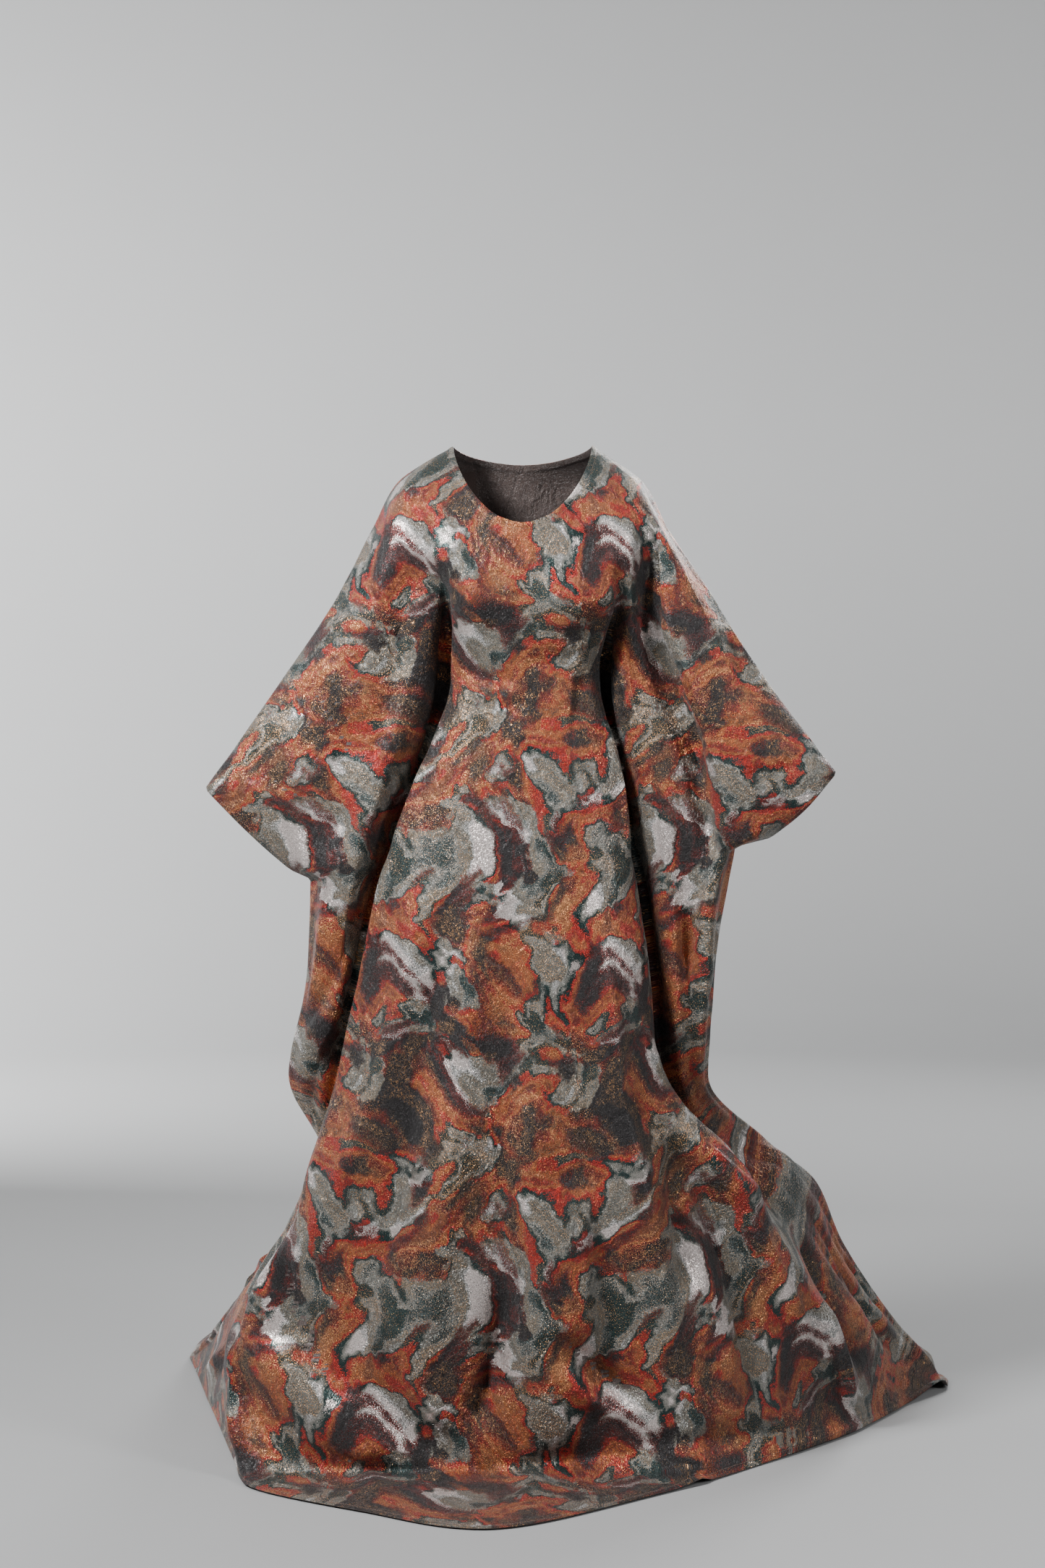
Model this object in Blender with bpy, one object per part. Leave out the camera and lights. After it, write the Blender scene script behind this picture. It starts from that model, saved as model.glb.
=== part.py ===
"""A floor-length kaftan with wide butterfly sleeves and a train, in the form it keeps when worn.

It is cut as two pieces, a front and a back, each in one with its sleeves. They are joined along
the shoulders and over the arms, and down the sides from the cuffs to the hem. The neck, the cuffs
and the hem are open. Each piece is a thin wall lofted through level sections of the worn form.

Metres, +Z up, the front faces -Y. The origin is midway between the shoulders that carry the
garment, SHOULDER_HEIGHT above the floor. The tables below are in millimetres, with heights above
the floor, so they can be read against a tape measure. Run it with
blender --background --python part.py
"""

import math

import bmesh
import bpy
import numpy as np

# Driving dimensions

MM = 0.001
SHOULDER_HEIGHT = 1440 * MM
WALL = 1.5 * MM
SEAM_GAP = 0.3 * MM
FLOOR_LIFT = 0.3 * MM

NECK_HALF_WIDTH = 100
NECK_TOP = 1455
NECK_FRONT_DEPTH = 95
NECK_FRONT_DROP = 121
NECK_BACK_DEPTH = 62
NECK_BACK_DROP = 20
NECK_DIP_POWER = 1.4

FOLD_ROLL_ACROSS = 10
FOLD_ROLL_DEEP = 12
FOLD_ROLL_WIDER = {"shoulder": 2.2, "chest": 1.5}
CUFF_GAPE = 20
CORNERS = ("cuff tip", "cuff end", "side")
CORNER_REACH = ((-2, 0.4), (-1, 0.9), (0, 1.0), (1, 0.9), (2, 0.4))
BESIDE_EDGE = 0.3
BEND_SOFTNESS = 6 * MM
RING_SAMPLES = 2048
SHARP_ANGLE = 50

STEPS_DOWN = (3, 2, 3, 3, 3, 2, 2, 2, 2, 2, 2, 2, 2, 2, 2, 2, 4)
STEPS_FRONT = (2, 3, 3, 4, 4, 3, 3, 3, 3, 4, 4, 3, 3, 3, 3, 2)
STEPS_BACK = (2, 3, 3, 3, 3, 3, 3, 3, 3, 3, 3, 2)

# Level sections, from the neck edge down. Heights of the left side line, the front middle, the
# right side line and the back middle. The left and the right are those of the front view.

STATIONS = ("neck", "shoulder", "chest", "bust", "waist", "cuff tip", "cuff", "cuff end", "side",
            "thigh", "knee", "calf", "shelf", "shin", "ankle", "bend", "floor", "hem")

HEIGHTS = {
    # station:   left  front  right  back
    "neck":     (1455, 1334, 1455, 1435),
    "shoulder": (1400, 1306, 1400, 1398),
    "chest":    (1335, 1272, 1335, 1330),
    "bust":     (1240, 1226, 1240, 1236),
    "waist":    (1120, 1120, 1120, 1120),
    "cuff tip": (963, 972, 986, 972),
    "cuff":     (908, 924, 936, 924),
    "cuff end": (846, 872, 893, 872),
    "side":     (834, 824, 880, 824),
    "thigh":    (700, 700, 700, 700),
    "knee":     (550, 550, 550, 550),
    "calf":     (430, 430, 430, 430),
    "shelf":    (360, 360, 360, 360),
    "shin":     (250, 250, 250, 250),
    "ankle":    (130, 130, 130, 130),
    "bend":     (50, 50, 50, 50),
    "floor":    (14, 14, 14, 14),
    "hem":      (4, 4, 4, 4),
}

# Middle of the front: how far the middle stands off, and its quarter points beside it.

FRONT = {
    # station:   middle x, y   left quarter x, y   right quarter x, y
    "shoulder": (0, -98, -58, -97, 58, -97),
    "chest":    (0, -104, -64, -107, 64, -107),
    "bust":     (0, -108, -66, -119, 68, -119),
    "waist":    (0, -90, -52, -84, 56, -84),
    "cuff tip": (0, -106, -78, -96, 72, -98),
    "cuff":     (0, -111, -88, -100, 76, -103),
    "cuff end": (0, -116, -96, -104, 80, -108),
    "side":     (0, -120, -104, -108, 86, -112),
    "thigh":    (0, -128, -118, -116, 96, -120),
    "knee":     (0, -132, -138, -118, 104, -124),
    "calf":     (0, -134, -156, -116, 140, -120),
    "shelf":    (0, -134, -166, -114, 160, -112),
    "shin":     (0, -130, -190, -108, 186, -98),
    "ankle":    (0, -116, -206, -102, 200, -92),
    "bend":     (0, -104, -204, -100, 200, -92),
    "floor":    (-10, -134, -210, -128, 200, -108),
    "hem":      (-50, -297, -215, -226, 200, -144),
}

# Left half of the front, from the front panel's turned edge out to the side line. The valley is
# the deep fold that starts under the arm, the ridge the front of the wing beyond it.

LEFT = {
    # station:   panel x, y    valley x, y    ridge x, y    face x, y    side line x, y
    "shoulder": (-96, -91, -128, -82, -152, -66, -170, -42, -181, 5),
    "chest":    (-100, -97, -134, -82, -166, -70, -194, -48, -217, 0),
    "bust":     (-97, -86, -104, -58, -124, -70, -206, -56, -266, 0),
    "waist":    (-96, -48, -102, -8, -150, -58, -262, -48, -346, 0),
    "cuff tip": (-150, -52, -157, -6, -204, -62, -330, -48, -457, 0),
    "cuff":     (-169, -52, -176, -4, -220, -61, -308, -40, -400, 0),
    "cuff end": (-187, -52, -194, -2, -234, -60, -290, -46, -334, 0),
    "side":     (-201, -51, -207, -2, -242, -55, -278, -40, -306, 0),
    "thigh":    (-226, -50, -231, 0, -256, -42, -286, -30, -311, 6),
    "knee":     (-262, -50, -266, 4, -290, -18, -316, -10, -339, 22),
    "calf":     (-303, -50, -288, 12, -288, 40, -290, 60, -292, 84),
    "shelf":    (-321, -50, -306, 20, -306, 68, -312, 104, -318, 142),
    "shin":     (-388, -44, -374, 26, -376, 112, -382, 176, -390, 250),
    "ankle":    (-413, -24, -418, 36, -436, 156, -450, 256, -466, 364),
    "bend":     (-402, -68, -414, 8, -448, 156, -484, 300, -516, 470),
    "floor":    (-391, -98, -408, -14, -452, 156, -498, 330, -548, 540),
    "hem":      (-387, -109, -409, -20, -455, 158, -508, 364, -561, 571),
}

# Right half of the front. A second, narrower valley and lap lie between the ridge and the sleeve.

RIGHT = {
    # station:   panel x, y   valley x, y   ridge x, y   gap x, y   lap x, y   face x, y   side line x, y
    "shoulder": (96, -91, 122, -84, 142, -74, 154, -62, 162, -54, 168, -38, 175, 5),
    "chest":    (104, -97, 130, -88, 156, -76, 178, -46, 188, -52, 202, -40, 212, 0),
    "bust":     (130, -86, 137, -60, 150, -66, 178, -30, 190, -58, 236, -50, 273, 0),
    "waist":    (104, -48, 110, -8, 148, -56, 200, -16, 220, -58, 292, -46, 349, 0),
    "cuff tip": (134, -52, 140, -6, 180, -56, 254, -20, 276, -58, 366, -44, 452, 0),
    "cuff":     (142, -52, 149, -5, 187, -54, 259, -22, 280, -54, 346, -38, 408, 0),
    "cuff end": (150, -52, 158, -4, 194, -52, 262, -24, 282, -52, 322, -42, 357, 0),
    "side":     (158, -52, 166, -2, 200, -48, 256, -26, 272, -44, 292, -34, 306, 0),
    "thigh":    (176, -54, 185, 0, 212, -38, 236, -20, 250, -32, 264, -22, 276, 6),
    "knee":     (187, -58, 202, 26, 228, 6, 242, 12, 252, 12, 264, 22, 272, 42),
    "calf":     (292, -28, 276, 60, 304, 104, 322, 128, 340, 148, 356, 170, 370, 196),
    "shelf":    (345, 16, 348, 104, 382, 152, 402, 176, 422, 202, 440, 226, 455, 250),
    "shin":     (412, 58, 428, 138, 456, 194, 470, 222, 484, 252, 496, 278, 506, 304),
    "ankle":    (462, 98, 486, 162, 516, 216, 534, 246, 552, 278, 570, 310, 585, 338),
    "bend":     (485, 124, 514, 180, 552, 236, 576, 272, 602, 306, 628, 336, 654, 364),
    "floor":    (497, 140, 530, 192, 572, 250, 596, 286, 624, 318, 648, 346, 672, 374),
    "hem":      (502, 144, 536, 192, 580, 256, 605, 294, 632, 322, 656, 350, 681, 378),
}

# Back, from the right side line to the left one. It falls into the train.

BACK = {
    # station:   face x, y   ridge x, y   valley x, y   quarter x, y   middle x, y
    #            then quarter, valley, ridge and face of the left
    "shoulder": (166, 38, 146, 60, 116, 74, 60, 80, 0, 78, -60, 80, -116, 74, -148, 60, -168, 40),
    "chest":    (200, 36, 164, 58, 124, 80, 66, 92, 0, 88, -66, 92, -124, 80, -168, 58, -200, 38),
    "bust":     (234, 44, 186, 58, 118, 56, 64, 86, 0, 86, -64, 86, -114, 56, -186, 58, -226, 46),
    "waist":    (290, 46, 176, 60, 108, 22, 58, 60, 0, 64, -58, 60, -104, 22, -172, 60, -284, 46),
    "cuff tip": (366, 46, 216, 60, 142, 26, 78, 88, 0, 92, -82, 88, -156, 26, -214, 60, -370, 46),
    "cuff":     (346, 38, 222, 60, 151, 28, 84, 98, 0, 103, -89, 98, -171, 28, -227, 60, -336, 38),
    "cuff end": (322, 44, 226, 60, 160, 30, 90, 108, 0, 114, -96, 108, -186, 30, -240, 60, -302, 44),
    "side":     (290, 42, 222, 64, 168, 36, 94, 116, 0, 124, -102, 116, -196, 36, -246, 62, -288, 40),
    "thigh":    (262, 48, 226, 76, 180, 70, 100, 142, 0, 154, -114, 142, -208, 70, -254, 76, -294, 50),
    "knee":     (262, 80, 240, 118, 198, 132, 110, 194, 0, 208, -128, 196, -228, 128, -278, 116, -322, 76),
    "calf":     (352, 232, 318, 244, 250, 226, 140, 252, 0, 268, -146, 254, -244, 184, -272, 148, -290, 114),
    "shelf":    (436, 280, 388, 296, 294, 284, 166, 296, 0, 312, -166, 300, -270, 240, -298, 206, -316, 174),
    "shin":     (494, 336, 444, 362, 344, 368, 196, 376, 0, 388, -196, 380, -326, 344, -368, 316, -390, 284),
    "ankle":    (578, 364, 524, 402, 404, 448, 232, 474, 0, 486, -232, 480, -392, 452, -444, 432, -470, 400),
    "bend":     (648, 388, 590, 434, 452, 504, 256, 548, 0, 566, -256, 558, -438, 536, -496, 520, -522, 494),
    "floor":    (668, 396, 616, 452, 478, 540, 272, 600, 0, 622, -272, 612, -466, 590, -530, 578, -552, 560),
    "hem":      (690, 430, 664, 520, 552, 690, 316, 836, 20, 900, -264, 896, -460, 862, -530, 800, -560, 660),
}

# How far each point of the front takes the height of the middle rather than of its side line,
# and where it lies on the neck edge, in degrees from the shoulder.

FRONT_LEFT_SHARE = {"roll": (0.0, 6), "face": (0.15, 13), "ridge": (0.45, 25), "valley": (0.7, 38),
                    "panel": (0.9, 52), "quarter": (1.0, 70)}
FRONT_RIGHT_SHARE = {"roll": (0.0, 5), "face": (0.15, 11), "lap": (0.3, 17), "gap": (0.38, 23),
                     "ridge": (0.5, 31), "valley": (0.7, 41), "panel": (0.9, 53), "quarter": (1.0, 71)}
BACK_SHARE = {"roll": (0.0, 7), "face": (0.15, 16), "ridge": (0.45, 32), "valley": (0.8, 50),
              "quarter": (1.0, 70)}

# The largest folds of the skirt. Each runs down the cloth from one place to another, given as
# the point across and the station, and stands out or in by its depth.

FOLDS = (
    # from across, station   to across, station   half width   depth
    (5.4, 13.4, 6.2, 15.6, 0.45, 26),
    (8.4, 10.0, 8.9, 16.0, 0.40, -18),
    (7.6, 11.0, 7.0, 15.5, 0.45, 16),
    (6.4, 10.0, 5.9, 14.0, 0.45, 12),
    (19.6, 10.0, 19.4, 16.6, 0.45, 20),
    (21.0, 11.0, 21.0, 16.8, 0.45, -16),
    (22.6, 9.0, 22.8, 16.6, 0.45, 22),
    (24.2, 11.0, 24.0, 16.8, 0.45, -14),
)

# Colours, for plain materials: the cloth's mean colour, its roughness and its metallic share.

FRONT_COLOUR = (0.20, 0.085, 0.05, 1.0)
BACK_COLOUR = (0.17, 0.08, 0.055, 1.0)
CLOTH_ROUGHNESS = 0.5
CLOTH_METALLIC = 0.35


def clear_scene():
    """Remove whatever the scene starts with."""
    for thing in list(bpy.data.objects):
        bpy.data.objects.remove(thing, do_unlink=True)


def smooth_through(values, where, corners=(), sharp=0.0):
    """Values between the rows of a table, at fractional row numbers.

    A cubic through each pair of rows. Its slope at a row is the harmonic mean of the slopes on
    both sides, or nothing where they turn, so a fold reaches exactly as far as the table says.
    At the corner rows it is that of the straight line on each side, as far as sharp says.
    """
    step = np.diff(values, axis=0)
    before, after = step[:-1], step[1:]
    same_way = before * after > 0
    total = np.where(same_way, before + after, 1.0)
    slope = np.empty_like(values)
    slope[1:-1] = np.where(same_way, 2 * before * after / total, 0.0)
    slope[0], slope[-1] = step[0], step[-1]
    arriving, leaving = slope.copy(), slope.copy()
    for corner in corners:
        arriving[corner] += sharp * (step[corner - 1] - slope[corner])
        leaving[corner] += sharp * (step[corner] - slope[corner])
    row = np.clip(np.floor(where).astype(int), 0, len(values) - 2)
    part = (where - row).reshape((-1,) + (1,) * (values.ndim - 1))
    start, end = values[row], values[row + 1]
    return (start * (1 + 2 * part) * (1 - part) ** 2 + end * part ** 2 * (3 - 2 * part)
            + leaving[row] * part * (1 - part) ** 2 - arriving[row + 1] * part ** 2 * (1 - part))


def neck_point(degrees, side, front):
    """A point on the neck edge, which is a half ellipse that dips towards the middle."""
    angle = math.radians(degrees)
    depth, drop = (-NECK_FRONT_DEPTH, NECK_FRONT_DROP) if front else (NECK_BACK_DEPTH, NECK_BACK_DROP)
    dip = math.sin(angle) ** NECK_DIP_POWER
    return (side * NECK_HALF_WIDTH * math.cos(angle), depth * math.sin(angle), NECK_TOP - drop * dip)


def pairs(row):
    """A table row as (x, y) pairs."""
    return list(zip(row[0::2], row[1::2]))


def roll_point(line, face, side, facing, station):
    """The first point beside a side line: round a stiff fold above the calf, along the cloth below."""
    if station == "cuff":
        return (line[0] - side * FOLD_ROLL_ACROSS, line[1] + facing * BESIDE_EDGE * CUFF_GAPE)
    if STATIONS.index(station) > STATIONS.index("knee"):
        return tuple(a + BESIDE_EDGE * (b - a) for a, b in zip(line, face))
    wide = FOLD_ROLL_WIDER.get(station, 1.0)
    return (line[0] - side * FOLD_ROLL_ACROSS, line[1] + facing * FOLD_ROLL_DEEP * wide)


def section(station, facing):
    """One closed section: points from the left side line over the front to the right side line,
    then over the back to the left again. At the cuff the side lines are the edges of the piece
    that faces this way."""
    left_z, front_z, right_z, back_z = HEIGHTS[station]
    points = []

    def add(names, places, shares, side, front):
        side_z = left_z if side < 0 else right_z
        middle_z = front_z if front else back_z
        for name, place in zip(names, places):
            share, degrees = shares[name]
            if place is None:
                points.append(neck_point(degrees, side, front))
            else:
                points.append((place[0], place[1], side_z + share * (middle_z - side_z)))

    if station == "neck":
        left = right = back_right = back_left = [None] * 8
        left_line, right_line = (-NECK_HALF_WIDTH, 0), (NECK_HALF_WIDTH, 0)
        middle, back_middle = (0, -NECK_FRONT_DEPTH), (0, NECK_BACK_DEPTH)
    else:
        panel, valley, ridge, face, left_line = pairs(LEFT[station])
        middle, left_quarter, right_quarter = pairs(FRONT[station])
        gape = facing * CUFF_GAPE if station == "cuff" else 0
        left_line = (left_line[0], left_line[1] + gape)
        roll = roll_point(left_line, face, -1, -1, station)
        left = [roll, face, ridge, valley, panel, left_quarter]
        panel, valley, ridge, gap, lap, face, right_line = pairs(RIGHT[station])
        right_line = (right_line[0], right_line[1] + gape)
        roll = roll_point(right_line, face, 1, -1, station)
        right = [right_quarter, panel, valley, ridge, gap, lap, face, roll]
        back = pairs(BACK[station])
        back_middle = back[4]
        back_right = [roll_point(right_line, back[0], 1, 1, station)] + back[:4]
        back_left = back[5:] + [roll_point(left_line, back[8], -1, 1, station)]

    points.append((left_line[0], left_line[1], left_z))
    add(list(FRONT_LEFT_SHARE), left, FRONT_LEFT_SHARE, -1, True)
    points.append((middle[0], middle[1], front_z))
    add(list(FRONT_RIGHT_SHARE)[::-1], right, FRONT_RIGHT_SHARE, 1, True)
    points.append((right_line[0], right_line[1], right_z))
    add(list(BACK_SHARE), back_right, BACK_SHARE, 1, False)
    points.append((back_middle[0], back_middle[1], back_z))
    add(list(BACK_SHARE)[::-1], back_left, BACK_SHARE, -1, False)
    return points


LEFT_LINE = 0
RIGHT_LINE = 1 + len(FRONT_LEFT_SHARE) + 1 + len(FRONT_RIGHT_SHARE)
ROUND = RIGHT_LINE + 2 + 2 * len(BACK_SHARE)


def worn_form(across, down, facing):
    """Points of the cloth's outer face, in metres above the floor.

    across runs round the garment, from 0 at the left side line over the front to RIGHT_LINE and
    over the back to ROUND, which is the left side line again; down runs from 0 at the neck edge
    to the last station at the hem. facing is -1 for the front piece and 1 for the back one, which
    part at the cuffs.
    """
    table = np.array([section(station, facing) for station in STATIONS], dtype=float) * MM
    sharp = np.zeros((ROUND, 1))
    for line in (LEFT_LINE, RIGHT_LINE):
        for beside, share in CORNER_REACH:
            sharp[(line + beside) % ROUND] = share
    corners = [STATIONS.index(station) for station in CORNERS]
    along = smooth_through(table, down, corners, sharp)
    ring = np.concatenate([along[:, -2:], along, along[:, :3]], axis=1)
    even = np.arange(RING_SAMPLES) * ROUND / RING_SAMPLES
    points = smooth_through(np.moveaxis(ring, 1, 0), even + 2)
    points = softened(np.moveaxis(points, 0, 1), even, across)
    return points + folds(across, down)[:, :, None] * outward(points)


def softened(rings, even, across):
    """Closed rings with their sharp bends rounded off, at the places across.

    Stiff cloth can't turn a sharp corner. Each ring is laid out evenly along its own length, its
    waves shorter than the cloth can bend are damped as a Gaussian blur would, and it is read
    again at the same places along its length.
    """
    places = np.append(even, ROUND)
    result = np.empty((len(rings), len(across), 3))
    for index, ring in enumerate(rings):
        closed = np.vstack([ring, ring[:1]])
        length = np.append(0.0, np.cumsum(np.linalg.norm(np.diff(closed, axis=0), axis=1)))
        level = np.linspace(0, length[-1], len(even), endpoint=False)
        evenly = np.stack([np.interp(level, length, closed[:, axis]) for axis in range(3)], axis=1)
        waves = np.fft.rfft(evenly, axis=0)
        turns = np.arange(len(waves)) * 2 * np.pi / length[-1]
        waves *= np.exp(-0.5 * (turns * BEND_SOFTNESS) ** 2)[:, None]
        soft = np.fft.irfft(waves, n=len(even), axis=0)
        soft = np.vstack([soft, soft[:1]])
        wanted = np.interp(across, places, length)
        result[index] = np.stack([np.interp(wanted, np.append(level, length[-1]), soft[:, axis])
                                  for axis in range(3)], axis=1)
    return result


def outward(points):
    """Unit normals of a grid of points, from the slopes along its rows and down its columns."""
    along = np.gradient(points, axis=1)
    downwards = np.gradient(points, axis=0)
    normal = np.cross(downwards, along)
    length = np.linalg.norm(normal, axis=2, keepdims=True)
    return normal / np.maximum(length, 1e-9)


def folds(across, down):
    """How far the largest folds stand off: a smooth hill or trough beside a line, tapered at its
    ends."""
    height = np.zeros((len(down), len(across)))
    for start, top, end, bottom, half_width, depth in FOLDS:
        part = (down - top) / (bottom - top)
        taper = np.clip(1 - (2 * part - 1) ** 4, 0, 1) * ((part > 0) & (part < 1))
        line = start + (end - start) * part
        offset = np.abs(across[None, :] - line[:, None]) / half_width
        hill = np.where(offset < 1, (1 - offset ** 2) ** 2, 0)
        height += depth * MM * hill * taper[:, None]
    return height


def places(steps_between, start=0):
    """Places of the mesh's rows or columns: so many steps between each pair of table entries."""
    result = [float(start)]
    for index, steps in enumerate(steps_between):
        result += [start + index + (step + 1) / steps for step in range(steps)]
    return np.array(result)


def wall_grids(first, last):
    """Outer and inner faces of one piece's wall, between two side lines.

    The cloth's directions are read from the grid itself, with one column more on each side, so
    both pieces have the same ones where they meet.
    """
    facing, steps = (-1, STEPS_FRONT) if first == LEFT_LINE else (1, STEPS_BACK)
    across = places(steps, first)
    beyond = 1 / steps[0]
    across = np.concatenate([[first - beyond], across, [last + beyond]])
    grid = worn_form(np.mod(across, ROUND), places(STEPS_DOWN), facing)
    normal = outward(grid)[:, 1:-1]
    tangent = (grid[:, 2:] - grid[:, :-2])
    tangent /= np.maximum(np.linalg.norm(tangent, axis=2, keepdims=True), 1e-9)
    outer = grid[:, 1:-1].copy()
    outer[:, 0] += tangent[:, 0] * SEAM_GAP / 2
    outer[:, -1] -= tangent[:, -1] * SEAM_GAP / 2
    inner = outer - normal * WALL
    for edge in (0, -1):
        along = tangent[:, edge]
        slip = np.sum((inner[:, edge] - outer[:, edge]) * along, axis=1, keepdims=True)
        inner[:, edge] -= slip * along
    lowest = np.minimum(outer[:, :, 2], inner[:, :, 2])
    rise = np.maximum(FLOOR_LIFT - lowest, 0)
    outer[:, :, 2] += rise
    inner[:, :, 2] += rise
    return outer, inner


def wall_mesh(name, first, last):
    """One piece as a closed wall: both faces of the cloth and the raw edges between them.

    Every cell is two triangles, and both faces and both pieces at a seam split their cells along
    the same diagonal, so the wall keeps its thickness where the cloth is twisted.
    """
    outer, inner = wall_grids(first, last)
    rows, columns = outer.shape[:2]
    shell = bmesh.new()
    faces_of_cloth = []
    for grid in (outer, inner):
        grid = grid - np.array([0, 0, SHOULDER_HEIGHT])
        faces_of_cloth.append([[shell.verts.new(point) for point in row] for row in grid])
    front, rear = faces_of_cloth
    for row in range(rows - 1):
        for column in range(columns - 1):
            cell = (row, column), (row + 1, column), (row + 1, column + 1), (row, column + 1)
            flip = (cell[3], cell[0], cell[1], cell[2])
            down = outer[cell[0]] - outer[cell[2]]
            up = outer[cell[1]] - outer[cell[3]]
            a, b, c, d = cell if down @ down < up @ up else flip
            for triangle in ((a, b, c), (a, c, d)):
                shell.faces.new([front[r][k] for r, k in triangle])
                shell.faces.new([rear[r][k] for r, k in reversed(triangle)])
    for column in (0, columns - 1):
        for row in range(rows - 1):
            shell.faces.new([front[row][column], front[row + 1][column], rear[row + 1][column]])
            shell.faces.new([front[row][column], rear[row + 1][column], rear[row][column]])
    for row in (0, rows - 1):
        for column in range(columns - 1):
            shell.faces.new([front[row][column], front[row][column + 1], rear[row][column + 1]])
            shell.faces.new([front[row][column], rear[row][column + 1], rear[row][column]])
    bmesh.ops.recalc_face_normals(shell, faces=shell.faces)
    mesh = bpy.data.meshes.new(name)
    shell.to_mesh(mesh)
    shell.free()
    mesh.shade_smooth()
    mesh.set_sharp_from_angle(angle=math.radians(SHARP_ANGLE))
    return mesh


def cloth_material(name, colour):
    """Plain stand-in for the woven metallic cloth."""
    material = bpy.data.materials.new(name)
    material.use_nodes = True
    shader = material.node_tree.nodes["Principled BSDF"]
    shader.inputs["Base Color"].default_value = colour
    shader.inputs["Roughness"].default_value = CLOTH_ROUGHNESS
    shader.inputs["Metallic"].default_value = CLOTH_METALLIC
    return material


def add_piece(collection, name, first, last, colour):
    """One cut piece as an object of its own."""
    mesh = wall_mesh(name, first, last)
    mesh.materials.append(cloth_material(name + "_cloth", colour))
    piece = bpy.data.objects.new(name, mesh)
    collection.objects.link(piece)
    return piece


def main():
    clear_scene()
    kaftan = bpy.data.collections.new("kaftan")
    bpy.context.scene.collection.children.link(kaftan)
    add_piece(kaftan, "front_panel", LEFT_LINE, RIGHT_LINE, FRONT_COLOUR)
    add_piece(kaftan, "back_panel", RIGHT_LINE, ROUND, BACK_COLOUR)


main()
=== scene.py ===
"""A worn kaftan of crinkled metallic jacquard, with wide butterfly sleeves and a train.

Each of its two pieces, the front and the back, is a thin shell worked out on a grid from level
sections of the worn form, with its creases laid over it. The file is laid out as an add-on:
operators build the pieces and the studio from the sizes and colours in the sidebar.
"""

import math

import bpy
import numpy as np
from bpy.props import FloatProperty, FloatVectorProperty
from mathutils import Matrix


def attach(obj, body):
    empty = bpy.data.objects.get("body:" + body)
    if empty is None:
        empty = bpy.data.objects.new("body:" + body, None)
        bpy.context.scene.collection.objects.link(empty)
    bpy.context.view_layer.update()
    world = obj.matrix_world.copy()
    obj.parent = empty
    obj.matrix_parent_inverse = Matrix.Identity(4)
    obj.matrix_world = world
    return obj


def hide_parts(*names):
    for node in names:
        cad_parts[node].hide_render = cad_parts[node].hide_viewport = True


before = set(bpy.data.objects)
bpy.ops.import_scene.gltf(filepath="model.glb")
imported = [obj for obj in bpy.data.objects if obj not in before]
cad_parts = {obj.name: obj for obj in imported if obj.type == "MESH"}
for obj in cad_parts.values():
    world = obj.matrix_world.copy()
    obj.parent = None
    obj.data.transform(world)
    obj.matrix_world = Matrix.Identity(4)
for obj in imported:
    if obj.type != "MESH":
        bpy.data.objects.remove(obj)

bl_info = {
    "name": "Kaftan",
    "version": (1, 0, 0),
    "blender": (4, 5, 0),
    "location": "3D View > Sidebar > Kaftan",
    "description": "Builds a worn kaftan of metallic jacquard and a plain studio for it",
    "category": "Add Mesh",
}

# The worn form. Heights above the floor and sizes in millimetres, as in the solids.

MM = 0.001
SHOULDER_HEIGHT = 1440 * MM
SEAM_GAP = 0.3 * MM
FLOOR_LIFT = 0.3 * MM

NECK_HALF_WIDTH = 100
NECK_TOP = 1455
NECK_FRONT_DEPTH = 95
NECK_FRONT_DROP = 121
NECK_BACK_DEPTH = 62
NECK_BACK_DROP = 20
NECK_DIP_POWER = 1.4

# Beside each side line the cloth rolls round a stiff fold. BESIDE_EDGE is the part of the way to
# the next point at which the first point lies where there is no such fold. A side line turns
# sharply at CORNERS, and CORNER_REACH says how much of that turn the points beside it share.

FOLD_ROLL_ACROSS = 10
FOLD_ROLL_DEEP = 12
FOLD_ROLL_WIDER = {"shoulder": 2.2, "chest": 1.5}
CUFF_GAPE = 20
CORNERS = ("cuff tip", "cuff end", "side")
CORNER_REACH = ((-2, 0.4), (-1, 0.9), (0, 1.0), (1, 0.9), (2, 0.4))
BESIDE_EDGE = 0.3
BEND_SOFTNESS = 5 * MM
RING_SAMPLES = 2048

# The stations from the neck to the hem, with the height of the section at four places.

HEIGHTS = {
    # station:   left  front  right  back
    "neck":     (1455, 1334, 1455, 1435),
    "shoulder": (1400, 1306, 1400, 1398),
    "chest":    (1335, 1272, 1335, 1330),
    "bust":     (1240, 1226, 1240, 1236),
    "waist":    (1120, 1120, 1120, 1120),
    "cuff tip": (963, 972, 986, 972),
    "cuff":     (908, 924, 936, 924),
    "cuff end": (846, 872, 893, 872),
    "side":     (834, 824, 880, 824),
    "thigh":    (700, 700, 700, 700),
    "knee":     (550, 550, 550, 550),
    "calf":     (430, 430, 430, 430),
    "shelf":    (360, 360, 360, 360),
    "shin":     (250, 250, 250, 250),
    "ankle":    (130, 130, 130, 130),
    "bend":     (50, 50, 50, 50),
    "floor":    (14, 14, 14, 14),
    "hem":      (4, 4, 4, 4),
}
STATIONS = tuple(HEIGHTS)

# Middle of the front: how far the middle stands off, and its quarter points beside it.

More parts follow.
